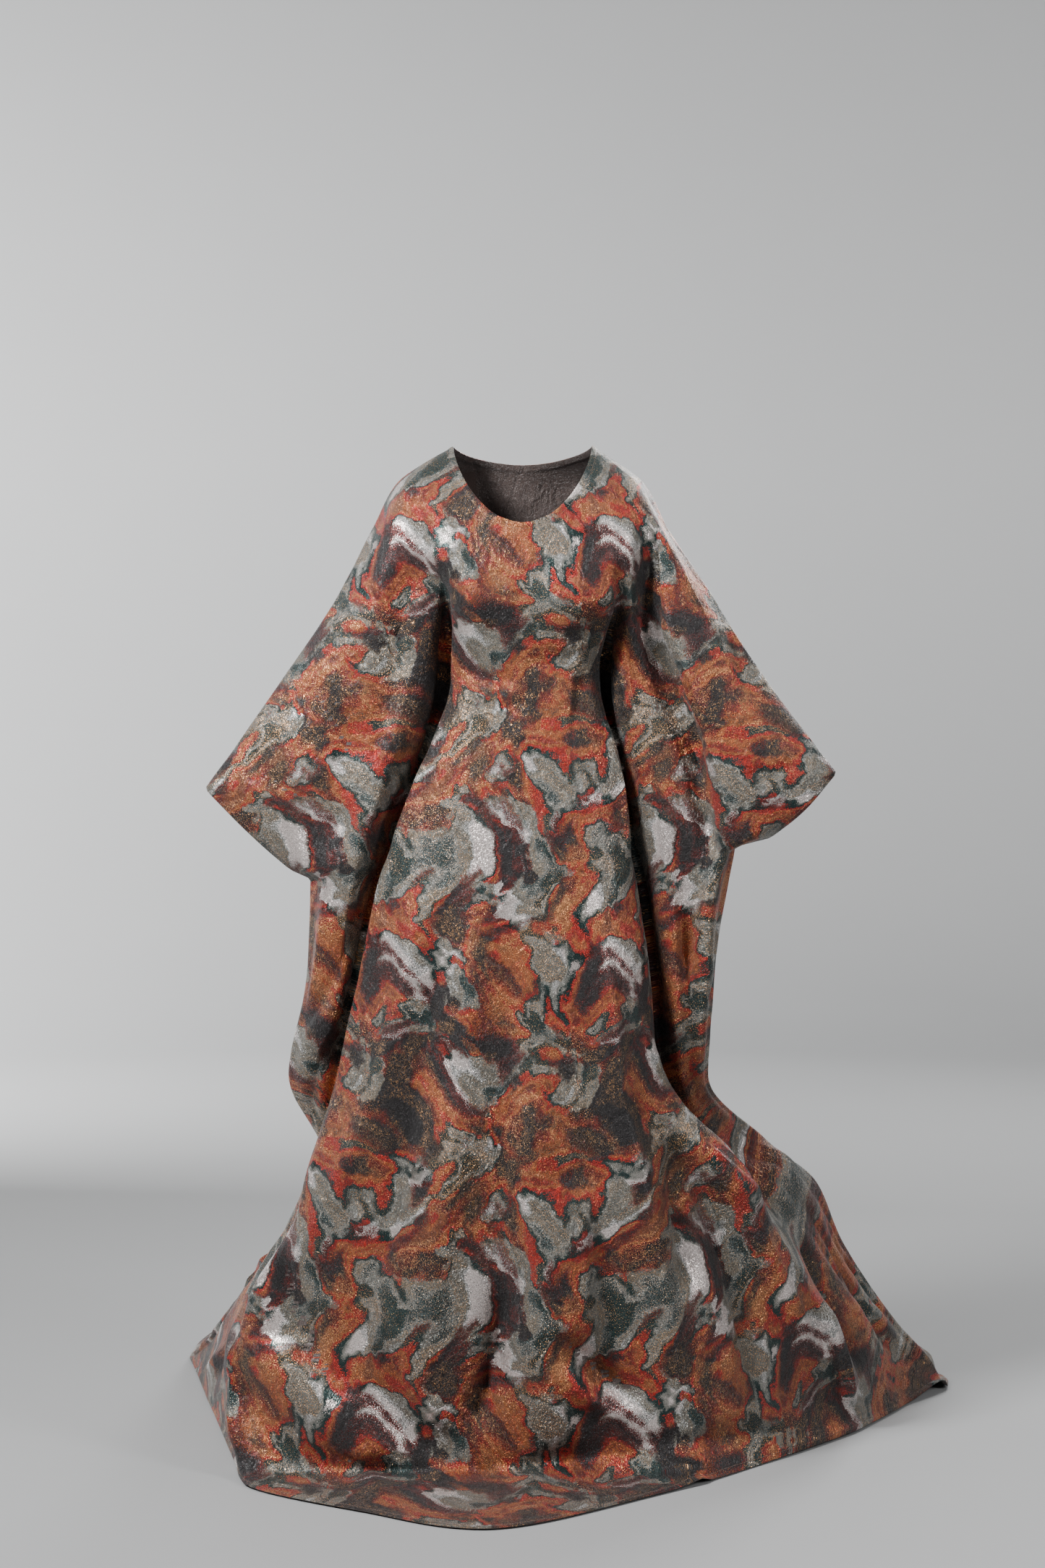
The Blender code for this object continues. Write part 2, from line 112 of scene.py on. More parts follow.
FRONT = {
    # station:   middle x, y   left quarter x, y   right quarter x, y
    "shoulder": (0, -98, -58, -97, 58, -97),
    "chest":    (0, -104, -64, -107, 64, -107),
    "bust":     (0, -108, -66, -119, 68, -119),
    "waist":    (0, -90, -52, -84, 56, -84),
    "cuff tip": (0, -106, -78, -96, 72, -98),
    "cuff":     (0, -111, -88, -100, 76, -103),
    "cuff end": (0, -116, -96, -104, 80, -108),
    "side":     (0, -120, -104, -108, 86, -112),
    "thigh":    (0, -128, -118, -116, 96, -120),
    "knee":     (0, -132, -138, -118, 104, -124),
    "calf":     (0, -134, -156, -116, 140, -120),
    "shelf":    (0, -134, -166, -114, 160, -112),
    "shin":     (0, -130, -190, -108, 186, -98),
    "ankle":    (0, -116, -206, -102, 200, -92),
    "bend":     (0, -104, -204, -100, 200, -92),
    "floor":    (-10, -134, -210, -128, 200, -108),
    "hem":      (-50, -297, -215, -226, 200, -144),
}

# Left half of the front, from the front panel's turned edge out to the side line.

LEFT = {
    # station:   panel x, y    valley x, y    ridge x, y    face x, y    side line x, y
    "shoulder": (-96, -91, -128, -82, -152, -66, -170, -42, -181, 5),
    "chest":    (-100, -97, -134, -82, -166, -70, -194, -48, -217, 0),
    "bust":     (-97, -86, -104, -58, -124, -70, -206, -56, -266, 0),
    "waist":    (-96, -48, -102, -8, -150, -58, -262, -48, -346, 0),
    "cuff tip": (-150, -52, -157, -6, -204, -62, -330, -48, -457, 0),
    "cuff":     (-169, -52, -176, -4, -220, -61, -308, -40, -400, 0),
    "cuff end": (-187, -52, -194, -2, -234, -60, -290, -46, -334, 0),
    "side":     (-201, -51, -207, -2, -242, -55, -278, -40, -306, 0),
    "thigh":    (-226, -50, -231, 0, -256, -42, -286, -30, -311, 6),
    "knee":     (-262, -50, -266, 4, -290, -18, -316, -10, -339, 22),
    "calf":     (-303, -50, -288, 12, -288, 40, -290, 60, -292, 84),
    "shelf":    (-321, -50, -306, 20, -306, 68, -312, 104, -318, 142),
    "shin":     (-388, -44, -374, 26, -376, 112, -382, 176, -390, 250),
    "ankle":    (-413, -24, -418, 36, -436, 156, -450, 256, -466, 364),
    "bend":     (-402, -68, -414, 8, -448, 156, -484, 300, -516, 470),
    "floor":    (-391, -98, -408, -14, -452, 156, -498, 330, -548, 540),
    "hem":      (-387, -109, -409, -20, -455, 158, -508, 364, -561, 571),
}

# Right half of the front. A second, narrower valley and lap lie between the ridge and the sleeve.

RIGHT = {
    # station:   panel x, y   valley x, y   ridge x, y   gap x, y   lap x, y   face x, y   side line x, y
    "shoulder": (96, -91, 122, -84, 142, -74, 154, -62, 162, -54, 168, -38, 175, 5),
    "chest":    (104, -97, 130, -88, 156, -76, 178, -46, 188, -52, 202, -40, 212, 0),
    "bust":     (130, -86, 137, -60, 150, -66, 178, -30, 190, -58, 236, -50, 273, 0),
    "waist":    (104, -48, 110, -8, 148, -56, 200, -16, 220, -58, 292, -46, 349, 0),
    "cuff tip": (134, -52, 140, -6, 180, -56, 254, -20, 276, -58, 366, -44, 452, 0),
    "cuff":     (142, -52, 149, -5, 187, -54, 259, -22, 280, -54, 346, -38, 408, 0),
    "cuff end": (150, -52, 158, -4, 194, -52, 262, -24, 282, -52, 322, -42, 357, 0),
    "side":     (158, -52, 166, -2, 200, -48, 256, -26, 272, -44, 292, -34, 306, 0),
    "thigh":    (176, -54, 185, 0, 212, -38, 236, -20, 250, -32, 264, -22, 276, 6),
    "knee":     (187, -58, 202, 26, 228, 6, 242, 12, 252, 12, 264, 22, 272, 42),
    "calf":     (292, -28, 276, 60, 304, 104, 322, 128, 340, 148, 356, 170, 370, 196),
    "shelf":    (345, 16, 348, 104, 382, 152, 402, 176, 422, 202, 440, 226, 455, 250),
    "shin":     (412, 58, 428, 138, 456, 194, 470, 222, 484, 252, 496, 278, 506, 304),
    "ankle":    (462, 98, 486, 162, 516, 216, 534, 246, 552, 278, 570, 310, 585, 338),
    "bend":     (485, 124, 514, 180, 552, 236, 576, 272, 602, 306, 628, 336, 654, 364),
    "floor":    (497, 140, 530, 192, 572, 250, 596, 286, 624, 318, 648, 346, 672, 374),
    "hem":      (502, 144, 536, 192, 580, 256, 605, 294, 632, 322, 656, 350, 681, 378),
}

# Back, from the right side line to the left one. It falls into the train.

BACK = {
    # station:   face x, y   ridge x, y   valley x, y   quarter x, y   middle x, y
    #            then quarter, valley, ridge and face of the left
    "shoulder": (166, 38, 146, 60, 116, 74, 60, 80, 0, 78, -60, 80, -116, 74, -148, 60, -168, 40),
    "chest":    (200, 36, 164, 58, 124, 80, 66, 92, 0, 88, -66, 92, -124, 80, -168, 58, -200, 38),
    "bust":     (234, 44, 186, 58, 118, 56, 64, 86, 0, 86, -64, 86, -114, 56, -186, 58, -226, 46),
    "waist":    (290, 46, 176, 60, 108, 22, 58, 60, 0, 64, -58, 60, -104, 22, -172, 60, -284, 46),
    "cuff tip": (366, 46, 216, 60, 142, 26, 78, 88, 0, 92, -82, 88, -156, 26, -214, 60, -370, 46),
    "cuff":     (346, 38, 222, 60, 151, 28, 84, 98, 0, 103, -89, 98, -171, 28, -227, 60, -336, 38),
    "cuff end": (322, 44, 226, 60, 160, 30, 90, 108, 0, 114, -96, 108, -186, 30, -240, 60, -302, 44),
    "side":     (290, 42, 222, 64, 168, 36, 94, 116, 0, 124, -102, 116, -196, 36, -246, 62, -288, 40),
    "thigh":    (262, 48, 226, 76, 180, 70, 100, 142, 0, 154, -114, 142, -208, 70, -254, 76, -294, 50),
    "knee":     (262, 80, 240, 118, 198, 132, 110, 194, 0, 208, -128, 196, -228, 128, -278, 116, -322, 76),
    "calf":     (352, 232, 318, 244, 250, 226, 140, 252, 0, 268, -146, 254, -244, 184, -272, 148, -290, 114),
    "shelf":    (436, 280, 388, 296, 294, 284, 166, 296, 0, 312, -166, 300, -270, 240, -298, 206, -316, 174),
    "shin":     (494, 336, 444, 362, 344, 368, 196, 376, 0, 388, -196, 380, -326, 344, -368, 316, -390, 284),
    "ankle":    (578, 364, 524, 402, 404, 448, 232, 474, 0, 486, -232, 480, -392, 452, -444, 432, -470, 400),
    "bend":     (648, 388, 590, 434, 452, 504, 256, 548, 0, 566, -256, 558, -438, 536, -496, 520, -522, 494),
    "floor":    (668, 396, 616, 452, 478, 540, 272, 600, 0, 622, -272, 612, -466, 590, -530, 578, -552, 560),
    "hem":      (690, 430, 664, 520, 552, 690, 316, 836, 20, 900, -264, 896, -460, 862, -530, 800, -560, 660),
}

# How far each point of the front takes the height of the middle rather than of its side line,
# and where it lies on the neck edge, in degrees from the shoulder.

FRONT_LEFT_SHARE = {"roll": (0.0, 6), "face": (0.15, 13), "ridge": (0.45, 25), "valley": (0.7, 38),
                    "panel": (0.9, 52), "quarter": (1.0, 70)}
FRONT_RIGHT_SHARE = {"roll": (0.0, 5), "face": (0.15, 11), "lap": (0.3, 17), "gap": (0.38, 23),
                     "ridge": (0.5, 31), "valley": (0.7, 41), "panel": (0.9, 53), "quarter": (1.0, 71)}
BACK_SHARE = {"roll": (0.0, 7), "face": (0.15, 16), "ridge": (0.45, 32), "valley": (0.8, 50),
              "quarter": (1.0, 70)}

LEFT_LINE = 0
FRONT_MIDDLE = 1 + len(FRONT_LEFT_SHARE)
RIGHT_LINE = FRONT_MIDDLE + 1 + len(FRONT_RIGHT_SHARE)
BACK_MIDDLE = RIGHT_LINE + 1 + len(BACK_SHARE)
ROUND = RIGHT_LINE + 2 + 2 * len(BACK_SHARE)

# The largest folds of the skirt, as in the solids.

FOLDS = (
    # from across, station   to across, station   half width   depth
    (5.4, 13.4, 6.2, 15.6, 0.45, 26),
    (8.4, 10.0, 8.9, 16.0, 0.40, -18),
    (7.6, 11.0, 7.0, 15.5, 0.45, 16),
    (6.4, 10.0, 5.9, 14.0, 0.45, 12),
    (19.6, 10.0, 19.4, 16.6, 0.45, 20),
    (21.0, 11.0, 21.0, 16.8, 0.45, -16),
    (22.6, 9.0, 22.8, 16.6, 0.45, 22),
    (24.2, 11.0, 24.0, 16.8, 0.45, -14),
)

# The creases that the cloth has kept, laid over the form: first those of the front, then of the
# back. Each runs through three places, given as the point across and the station. Its half width
# is measured on the cloth and its lean makes one flank wider.

CREASES = (
    # across, station   across, station   across, station   half width   depth   lean
    # left sleeve and shoulder
    (2.9, 2.4, 2.5, 3.5, 2.9, 4.8, 16, -14, 0.2),
    (2.2, 2.1, 2.3, 3.5, 2.6, 4.6, 20, 7, 0),
    (2.4, 4.2, 2.5, 4.9, 2.3, 6.8, 16, -8, 0),
    (1.4, 3.9, 2.2, 4.4, 2.7, 4.8, 14, -6, 0),
    (1.2, 4.7, 1.9, 5.0, 2.2, 5.8, 12, -5, 0),
    (2.3, 1.0, 3.6, 1.3, 3.2, 2.7, 14, -8, 0),
    # bust and waist
    (5.1, 3.8, 6.0, 4.0, 6.9, 4.0, 11, -8, 0.3),
    (7.0, 3.9, 7.7, 3.8, 8.4, 3.8, 10, -7, 0.3),
    (5.4, 3.3, 6.1, 3.5, 6.6, 3.5, 14, -5, 0),
    (8.5, 3.9, 8.3, 4.3, 8.0, 4.6, 12, -7, 0),
    (5.6, 4.3, 6.2, 4.5, 6.6, 5.0, 12, -6, 0),
    (5.5, 4.2, 6.4, 4.3, 7.3, 4.2, 8, -4, 0),
    (8.9, 3.2, 8.4, 3.5, 7.8, 3.5, 10, -5, 0),
    (5.3, 0.9, 6.2, 2.2, 6.7, 2.9, 14, -4, 0),
    (9.1, 0.9, 8.3, 2.0, 7.7, 2.8, 14, -4, 0),
    # right sleeve
    (13.0, 1.9, 12.8, 2.7, 12.8, 3.5, 10, -12, -0.2),
    (12.7, 3.6, 12.6, 4.3, 11.9, 5.1, 10, -13, -0.2),
    (13.5, 2.8, 13.3, 3.7, 13.1, 4.5, 12, 6, 0),
    (15.8, 3.4, 14.5, 3.9, 13.7, 4.4, 18, -8, 0),
    (14.7, 4.8, 13.9, 5.0, 13.3, 5.0, 12, -6, 0),
    (12.0, 5.7, 12.3, 6.8, 14.3, 8.1, 9, -7, 0),
    (10.6, 3.4, 11.2, 4.1, 10.9, 4.8, 12, -8, 0),
    (9.2, 4.2, 9.1, 4.9, 9.1, 7.4, 10, 5, 0),
    (11.3, 6.2, 11.5, 8.4, 12.2, 9.1, 14, -9, 0),
    (13.0, 8.2, 13.4, 8.7, 14.0, 9.3, 14, 8, 0),
    # left wing
    (3.4, 8.2, 2.9, 8.9, 1.0, 9.6, 18, -10, 0),
    (2.0, 8.1, 1.7, 8.9, 0.9, 9.4, 16, 8, 0),
    (3.4, 9.5, 2.6, 10.1, 1.6, 10.6, 14, -11, 0),
    # deep valleys beside the front panel and their crests
    (4.1, 2.3, 4.0, 4.6, 4.0, 7.5, 9, -14, 0),
    (4.0, 6.8, 4.0, 8.6, 4.0, 10.2, 10, -12, 0),
    (9.9, 2.4, 10.0, 4.4, 10.0, 7.5, 9, -14, 0),
    (10.0, 6.8, 10.0, 8.4, 10.0, 9.8, 9, -12, 0),
    (5.0, 2.8, 5.0, 4.8, 5.0, 7.5, 8, 5, 0),
    (5.0, 6.8, 5.0, 8.6, 5.0, 10.4, 9, 5, 0),
    (9.0, 2.9, 9.0, 5.0, 9.0, 7.5, 8, 5, 0),
    (3.1, 3.0, 3.0, 5.0, 3.0, 7.6, 8, 5, 0),
    (12.0, 2.6, 12.0, 4.6, 12.0, 7.6, 8, -8, 0),
    (13.0, 2.8, 13.0, 4.8, 13.0, 7.8, 7, 5, 0),
    # long folds of the skirt, from the hips to the floor
    (5.7, 7.0, 5.6, 10.0, 5.2, 13.4, 26, 13, 0),
    (6.0, 7.6, 5.9, 11.0, 5.7, 15.0, 26, -15, 0),
    (6.4, 7.4, 6.4, 10.6, 6.2, 14.6, 24, 14, 0),
    (6.8, 8.0, 6.8, 11.2, 6.7, 15.2, 26, -16, 0),
    (7.5, 6.6, 7.4, 9.0, 7.3, 10.9, 3, 1.2, 0),
    (7.1, 9.6, 7.1, 12.4, 7.1, 15.6, 24, 15, 0),
    (7.6, 8.6, 7.7, 11.8, 7.6, 14.8, 26, -17, 0),
    (8.1, 8.2, 8.1, 11.4, 8.1, 14.4, 24, 16, 0),
    (8.5, 10.2, 8.5, 12.6, 8.4, 15.4, 22, -20, 0),
    (8.8, 9.3, 8.8, 11.8, 8.9, 14.6, 18, 20, 0.2),
    # slanting folds above the floor
    (5.3, 12.4, 5.5, 13.2, 5.9, 14.2, 24, -20, 0),
    (5.0, 13.4, 5.1, 14.2, 5.1, 15.7, 14, 16, 0),
    (6.0, 12.9, 6.3, 13.8, 6.5, 14.8, 18, 17, 0),
    (6.9, 12.6, 6.8, 13.6, 6.6, 15.0, 18, -22, 0),
    (7.2, 13.2, 7.6, 13.8, 7.9, 14.2, 20, -24, 0.2),
    (7.2, 13.6, 7.5, 14.1, 7.8, 14.5, 14, 15, 0),
    (8.7, 10.5, 8.3, 12.0, 8.2, 13.0, 18, -20, 0),
    (9.0, 13.2, 9.1, 14.0, 9.2, 15.3, 18, 18, -0.3),
    (10.7, 12.6, 10.0, 13.4, 10.4, 14.7, 20, -22, 0),
    # breaks where the cloth meets the floor
    (5.2, 15.7, 5.8, 15.6, 6.4, 15.5, 14, -10, 0),
    (6.4, 15.6, 7.1, 15.4, 7.8, 15.1, 14, -12, 0),
    (7.8, 15.0, 8.2, 14.9, 8.6, 15.2, 16, -12, 0),
    (5.9, 14.7, 6.0, 15.8, 6.2, 16.7, 18, 11, 0),
    (7.0, 14.6, 7.1, 15.8, 7.2, 16.5, 18, 11, 0),
    (8.1, 14.5, 8.1, 15.1, 8.2, 15.9, 18, 12, 0),
    # spread skirt beside the panel, on the right and on the left
    (10.9, 11.0, 11.2, 12.8, 11.4, 15.2, 22, 18, 0),
    (12.0, 10.6, 12.3, 12.6, 12.4, 15.4, 22, -20, 0),
    (13.2, 10.8, 13.4, 12.8, 13.4, 15.6, 20, 18, 0),
    (14.4, 11.2, 14.6, 13.0, 14.6, 15.6, 18, -13, 0),
    (4.4, 11.2, 4.4, 13.0, 4.3, 15.4, 18, -15, 0),
    (3.6, 11.4, 3.3, 13.0, 3.2, 15.4, 20, 15, 0),
    (2.4, 12.0, 2.3, 13.6, 2.3, 15.6, 20, -15, 0),
    (1.4, 11.6, 1.3, 13.4, 1.3, 15.4, 16, 10, 0),
    # back: sleeves, shoulder blades and waist
    (18.3, 2.4, 18.6, 3.6, 18.2, 4.8, 16, -12, 0.2),
    (17.6, 2.2, 17.8, 3.5, 17.4, 4.7, 20, 7, 0),
    (25.8, 2.4, 25.5, 3.6, 25.9, 4.9, 16, -12, -0.2),
    (26.5, 2.2, 26.4, 3.4, 26.7, 4.6, 20, 7, 0),
    (20.5, 3.9, 21.6, 4.1, 22.6, 4.0, 12, -7, 0),
    (22.8, 3.9, 23.3, 4.2, 23.7, 4.0, 10, -5, 0),
    (20.6, 1.2, 21.0, 2.2, 21.4, 3.2, 14, -4, 0),
    (23.5, 1.1, 23.1, 2.3, 22.8, 3.1, 14, -4, 0),
    (19.9, 2.3, 20.0, 4.6, 20.0, 8.4, 9, -8, 0),
    (24.0, 2.4, 24.0, 4.5, 24.0, 8.6, 9, -8, 0),
    (18.6, 8.2, 18.2, 8.9, 17.6, 9.5, 14, -9, 0),
    (25.5, 8.1, 25.9, 8.8, 26.4, 9.4, 14, -9, 0),
    # back: long folds into the train
    (20.6, 5.2, 20.5, 8.6, 20.3, 12.4, 24, 11, 0),
    (21.2, 5.6, 21.3, 9.5, 21.4, 14.5, 24, -13, 0),
    (21.8, 5.4, 21.8, 9.6, 21.9, 15.5, 24, 14, 0),
    (22.4, 6.0, 22.5, 10.4, 22.4, 16.0, 24, -14, 0),
    (23.0, 5.3, 23.1, 9.7, 23.2, 15.4, 24, 14, 0),
    (23.6, 5.6, 23.7, 9.6, 23.7, 14.6, 22, -13, 0),
    (20.3, 12.0, 20.1, 14.0, 20.0, 16.4, 24, 20, 0),
    (20.8, 12.6, 20.9, 14.4, 21.0, 16.5, 22, -17, 0),
    (24.1, 11.6, 24.2, 14.0, 24.3, 16.4, 22, 17, 0),
    (24.6, 12.0, 24.7, 14.0, 24.8, 16.3, 24, -20, 0),
    (19.2, 12.4, 19.0, 14.1, 18.9, 16.3, 22, -18, 0),
    (18.4, 12.2, 18.1, 14.0, 17.9, 16.2, 20, 14, 0),
    (25.4, 12.4, 25.3, 14.2, 25.4, 16.2, 20, 18, 0),
    (26.3, 12.2, 26.3, 14.0, 26.4, 16.0, 20, -12, 0),
    (19.4, 15.3, 20.4, 15.5, 21.4, 15.4, 18, -10, 0),
    (22.0, 15.4, 23.0, 15.5, 24.0, 15.3, 18, -10, 0),
    (20.5, 16.3, 21.4, 16.4, 22.2, 16.3, 18, 8, 0),
)


def read_again(at, places, values):
    """Columns of values, known at places, read at other places in straight lines between."""
    return np.stack([np.interp(at, places, column) for column in values.T], axis=1)


def lengths_along(points):
    """The length from the first point of a line to each of its points."""
    return np.append(0.0, np.cumsum(np.linalg.norm(np.diff(points, axis=0), axis=1)))


def hill(offset):
    """A smooth hill: 1 at 0, level there, and 0 from 1 outwards on both sides."""
    return np.where(np.abs(offset) < 1, (1 - offset ** 2) ** 2, 0)


def eased(value):
    """A soft step: 0 below 0, 1 above 1, and level at both."""
    value = np.clip(value, 0, 1)
    return value * value * (3 - 2 * value)


def smooth_through(values, where, corners=(), sharp=0.0):
    """Values between the rows of a table, at fractional row numbers.

    A cubic through each pair of rows. Its slope at a row is the harmonic mean of the slopes on
    both sides, or nothing where they turn, so a fold reaches exactly as far as the table says.
    At the corner rows it is that of the straight line on each side, as far as sharp says.
    """
    step = np.diff(values, axis=0)
    before, after = step[:-1], step[1:]
    same_way = before * after > 0
    total = np.where(same_way, before + after, 1.0)
    slope = np.empty_like(values)
    slope[1:-1] = np.where(same_way, 2 * before * after / total, 0.0)
    slope[0], slope[-1] = step[0], step[-1]
    arriving, leaving = slope.copy(), slope.copy()
    for corner in corners:
        arriving[corner] += sharp * (step[corner - 1] - slope[corner])
        leaving[corner] += sharp * (step[corner] - slope[corner])
    row = np.clip(np.floor(where).astype(int), 0, len(values) - 2)
    part = (where - row).reshape((-1,) + (1,) * (values.ndim - 1))
    start, end = values[row], values[row + 1]
    return (start * (1 + 2 * part) * (1 - part) ** 2 + end * part ** 2 * (3 - 2 * part)
            + leaving[row] * part * (1 - part) ** 2 - arriving[row + 1] * part ** 2 * (1 - part))


def neck_point(degrees, side, front):
    """A point on the neck edge, which is a half ellipse that dips towards the middle."""
    angle = math.radians(degrees)
    depth, drop = (-NECK_FRONT_DEPTH, NECK_FRONT_DROP) if front else (NECK_BACK_DEPTH, NECK_BACK_DROP)
    dip = math.sin(angle) ** NECK_DIP_POWER
    return (side * NECK_HALF_WIDTH * math.cos(angle), depth * math.sin(angle), NECK_TOP - drop * dip)


def pairs(row):
    """A table row as (x, y) pairs."""
    return list(zip(row[0::2], row[1::2]))


def roll_point(line, face, side, facing, station):
    """The first point beside a side line: round a stiff fold above the calf, along the cloth below."""
    if station == "cuff":
        return (line[0] - side * FOLD_ROLL_ACROSS, line[1] + facing * BESIDE_EDGE * CUFF_GAPE)
    if STATIONS.index(station) > STATIONS.index("knee"):
        return tuple(a + BESIDE_EDGE * (b - a) for a, b in zip(line, face))
    wide = FOLD_ROLL_WIDER.get(station, 1.0)
    return (line[0] - side * FOLD_ROLL_ACROSS, line[1] + facing * FOLD_ROLL_DEEP * wide)


def section(station, facing):
    """One closed section: points from the left side line over the front to the right side line,
    then over the back to the left again. At the cuff the side lines are the edges of the piece
    that faces this way."""
    left_z, front_z, right_z, back_z = HEIGHTS[station]
    points = []

    def add(names, places, shares, side, front):
        """Add the named points of one half. Their heights lie between those of the side line and
        the middle, as far as their shares say."""
        side_z = left_z if side < 0 else right_z
        middle_z = front_z if front else back_z
        for name, place in zip(names, places):
            share, degrees = shares[name]
            if place is None:
                points.append(neck_point(degrees, side, front))
            else:
                points.append((place[0], place[1], side_z + share * (middle_z - side_z)))

    if station == "neck":
        left = right = back_right = back_left = [None] * len(FRONT_RIGHT_SHARE)
        left_line, right_line = (-NECK_HALF_WIDTH, 0), (NECK_HALF_WIDTH, 0)
        middle, back_middle = (0, -NECK_FRONT_DEPTH), (0, NECK_BACK_DEPTH)
    else:
        panel, valley, ridge, face, left_line = pairs(LEFT[station])
        middle, left_quarter, right_quarter = pairs(FRONT[station])
        gape = facing * CUFF_GAPE if station == "cuff" else 0
        left_line = (left_line[0], left_line[1] + gape)
        roll = roll_point(left_line, face, -1, -1, station)
        left = [roll, face, ridge, valley, panel, left_quarter]
        panel, valley, ridge, gap, lap, face, right_line = pairs(RIGHT[station])
        right_line = (right_line[0], right_line[1] + gape)
        roll = roll_point(right_line, face, 1, -1, station)
        right = [right_quarter, panel, valley, ridge, gap, lap, face, roll]
        back = pairs(BACK[station])
        back_middle = back[4]
        back_right = [roll_point(right_line, back[0], 1, 1, station)] + back[:4]
        back_left = back[5:] + [roll_point(left_line, back[8], -1, 1, station)]

    points.append((left_line[0], left_line[1], left_z))
    add(list(FRONT_LEFT_SHARE), left, FRONT_LEFT_SHARE, -1, True)
    points.append((middle[0], middle[1], front_z))
    add(list(FRONT_RIGHT_SHARE)[::-1], right, FRONT_RIGHT_SHARE, 1, True)
    points.append((right_line[0], right_line[1], right_z))
    add(list(BACK_SHARE), back_right, BACK_SHARE, 1, False)
    points.append((back_middle[0], back_middle[1], back_z))
    add(list(BACK_SHARE)[::-1], back_left, BACK_SHARE, -1, False)
    return points


def worn_form(across, down, facing):
    """Points of the cloth's outer face, in metres above the floor.

    across runs round the garment, from 0 at the left side line over the front to RIGHT_LINE and
    over the back to ROUND, which is the left side line again; down runs from 0 at the neck edge
    to the last station at the hem. facing is -1 for the front piece and 1 for the back one, which
    part at the cuffs.
    """
    table = np.array([section(station, facing) for station in STATIONS], dtype=float) * MM
    sharp = np.zeros((ROUND, 1))
    for line in (LEFT_LINE, RIGHT_LINE):
        for beside, share in CORNER_REACH:
            sharp[(line + beside) % ROUND] = share
    corners = [STATIONS.index(station) for station in CORNERS]
    along = smooth_through(table, down, corners, sharp)
    ring = np.concatenate([along[:, -2:], along, along[:, :3]], axis=1)
    even = np.arange(RING_SAMPLES) * ROUND / RING_SAMPLES
    points = smooth_through(np.moveaxis(ring, 1, 0), even + 2)
    points = softened(np.moveaxis(points, 0, 1), even, across)
    return points + folds(across, down)[:, :, None] * outward(points)


def softened(rings, even, across):
    """Closed rings with their sharp bends rounded off, at the places across.

    Stiff cloth can't turn a sharp corner. Each ring is laid out evenly along its own length, its
    waves shorter than the cloth can bend are damped as a Gaussian blur would, and it is read
    again at the same places along its length.
    """
    places = np.append(even, ROUND)
    result = np.empty((len(rings), len(across), 3))
    for index, ring in enumerate(rings):
        closed = np.vstack([ring, ring[:1]])
        length = lengths_along(closed)
        level = np.linspace(0, length[-1], len(even), endpoint=False)
        waves = np.fft.rfft(read_again(level, length, closed), axis=0)
        turns = np.arange(len(waves)) * 2 * np.pi / length[-1]
        waves *= np.exp(-0.5 * (turns * BEND_SOFTNESS) ** 2)[:, None]
        soft = np.fft.irfft(waves, n=len(even), axis=0)
        wanted = np.interp(across, places, length)
        result[index] = read_again(wanted, np.append(level, length[-1]), np.vstack([soft, soft[:1]]))
    return result


def outward(points):
    """Unit normals of a grid of points, from the slopes along its rows and down its columns."""
    along = np.gradient(points, axis=1)
    downwards = np.gradient(points, axis=0)
    normal = np.cross(downwards, along)
    length = np.linalg.norm(normal, axis=2, keepdims=True)
    return normal / np.maximum(length, TINY)


def folds(across, down):
    """How far the largest folds stand off: a smooth hill or trough beside a line, tapered at its
    ends."""
    height = np.zeros((len(down), len(across)))
    for start, top, end, bottom, half_width, depth in FOLDS:
        part = (down - top) / (bottom - top)
        taper = np.clip(1 - (2 * part - 1) ** 4, 0, 1)
        line = start + (end - start) * part
        height += depth * MM * hill((across[None, :] - line[:, None]) / half_width) * taper[:, None]
    return height


# Cloth: the grid that carries it, laid flat for its pattern and creases

# Columns and rows lie about this far apart, with FEWEST_STEPS to MOST_STEPS steps from a landmark
# or station to the next. Before that the form is read on DENSE_ROWS rows for each station, and its
# lengths on READS_ACROSS and READS_DOWN places. It is laid flat on a coarser grid in FLAT_STEPS
# rounds, each of which moves a point by FLAT_PULL times what its links ask on average.

COLUMN_SPACING = 8.2 * MM
ROW_SPACING = 8.2 * MM
MOST_STEPS = 26
FEWEST_STEPS = 4
DENSE_ROWS = 26
READS_ACROSS = 8
READS_DOWN = 4
FLAT_ROWS = 64
FLAT_COLUMNS = 72
FLAT_STEPS = 700
FLAT_PULL = 1.5
CUFF_MARGIN = 0.08
CUFF_ROWS = (STATIONS.index("cuff tip") + CUFF_MARGIN, STATIONS.index("cuff end") - CUFF_MARGIN)
SHARP_ANGLE = 60
TINY = 1e-9

# The turned hem. Rows lie at fixed distances from the neck edge and the hem, in millimetres. The
# cloth is thicker there by HEM_EXTRA of its thickness. HEM_STEP and HEM_ROUNDING are parts of its
# width: the step down to the cloth, and the rounding of the edge.

HEM_LINE = 9.5
EDGE_DISTANCES = (0.0, 0.9, 3.5, 7.5, HEM_LINE, 11.5, 15.5)
HEM_WIDTH = HEM_LINE * MM
HEM_SWELL = 0.5 * MM
HEM_EXTRA = 0.8
HEM_STEP = 0.3
HEM_ROUNDING = 0.15
GROOVE_DEPTH = 0.5 * MM
GROOVE_HALF_WIDTH = 1.6 * MM

# Creases. CREST is the part of the half width that the round crest takes, and CREASE_END the part
# of the length in which each end runs out. All of them fade beside the seams.

CREST = 0.4
CREASE_END = 0.25
CREASE_POINTS = 17
SEAM_FADE = 30 * MM

# The curl of the hem at its right tip, placed across and down as the creases are.

CURL_HEIGHT = 15 * MM
CURL_MIDDLE = RIGHT_LINE - 1.5
CURL_HALF_WIDTH = 2.6
CURL_START = STATIONS.index("bend") - 0.2

# Slight unevenness: waves of three sizes, in millimetres. Their headings lean away from the upright,
# and they die down to CALM_SHARE near the floor.

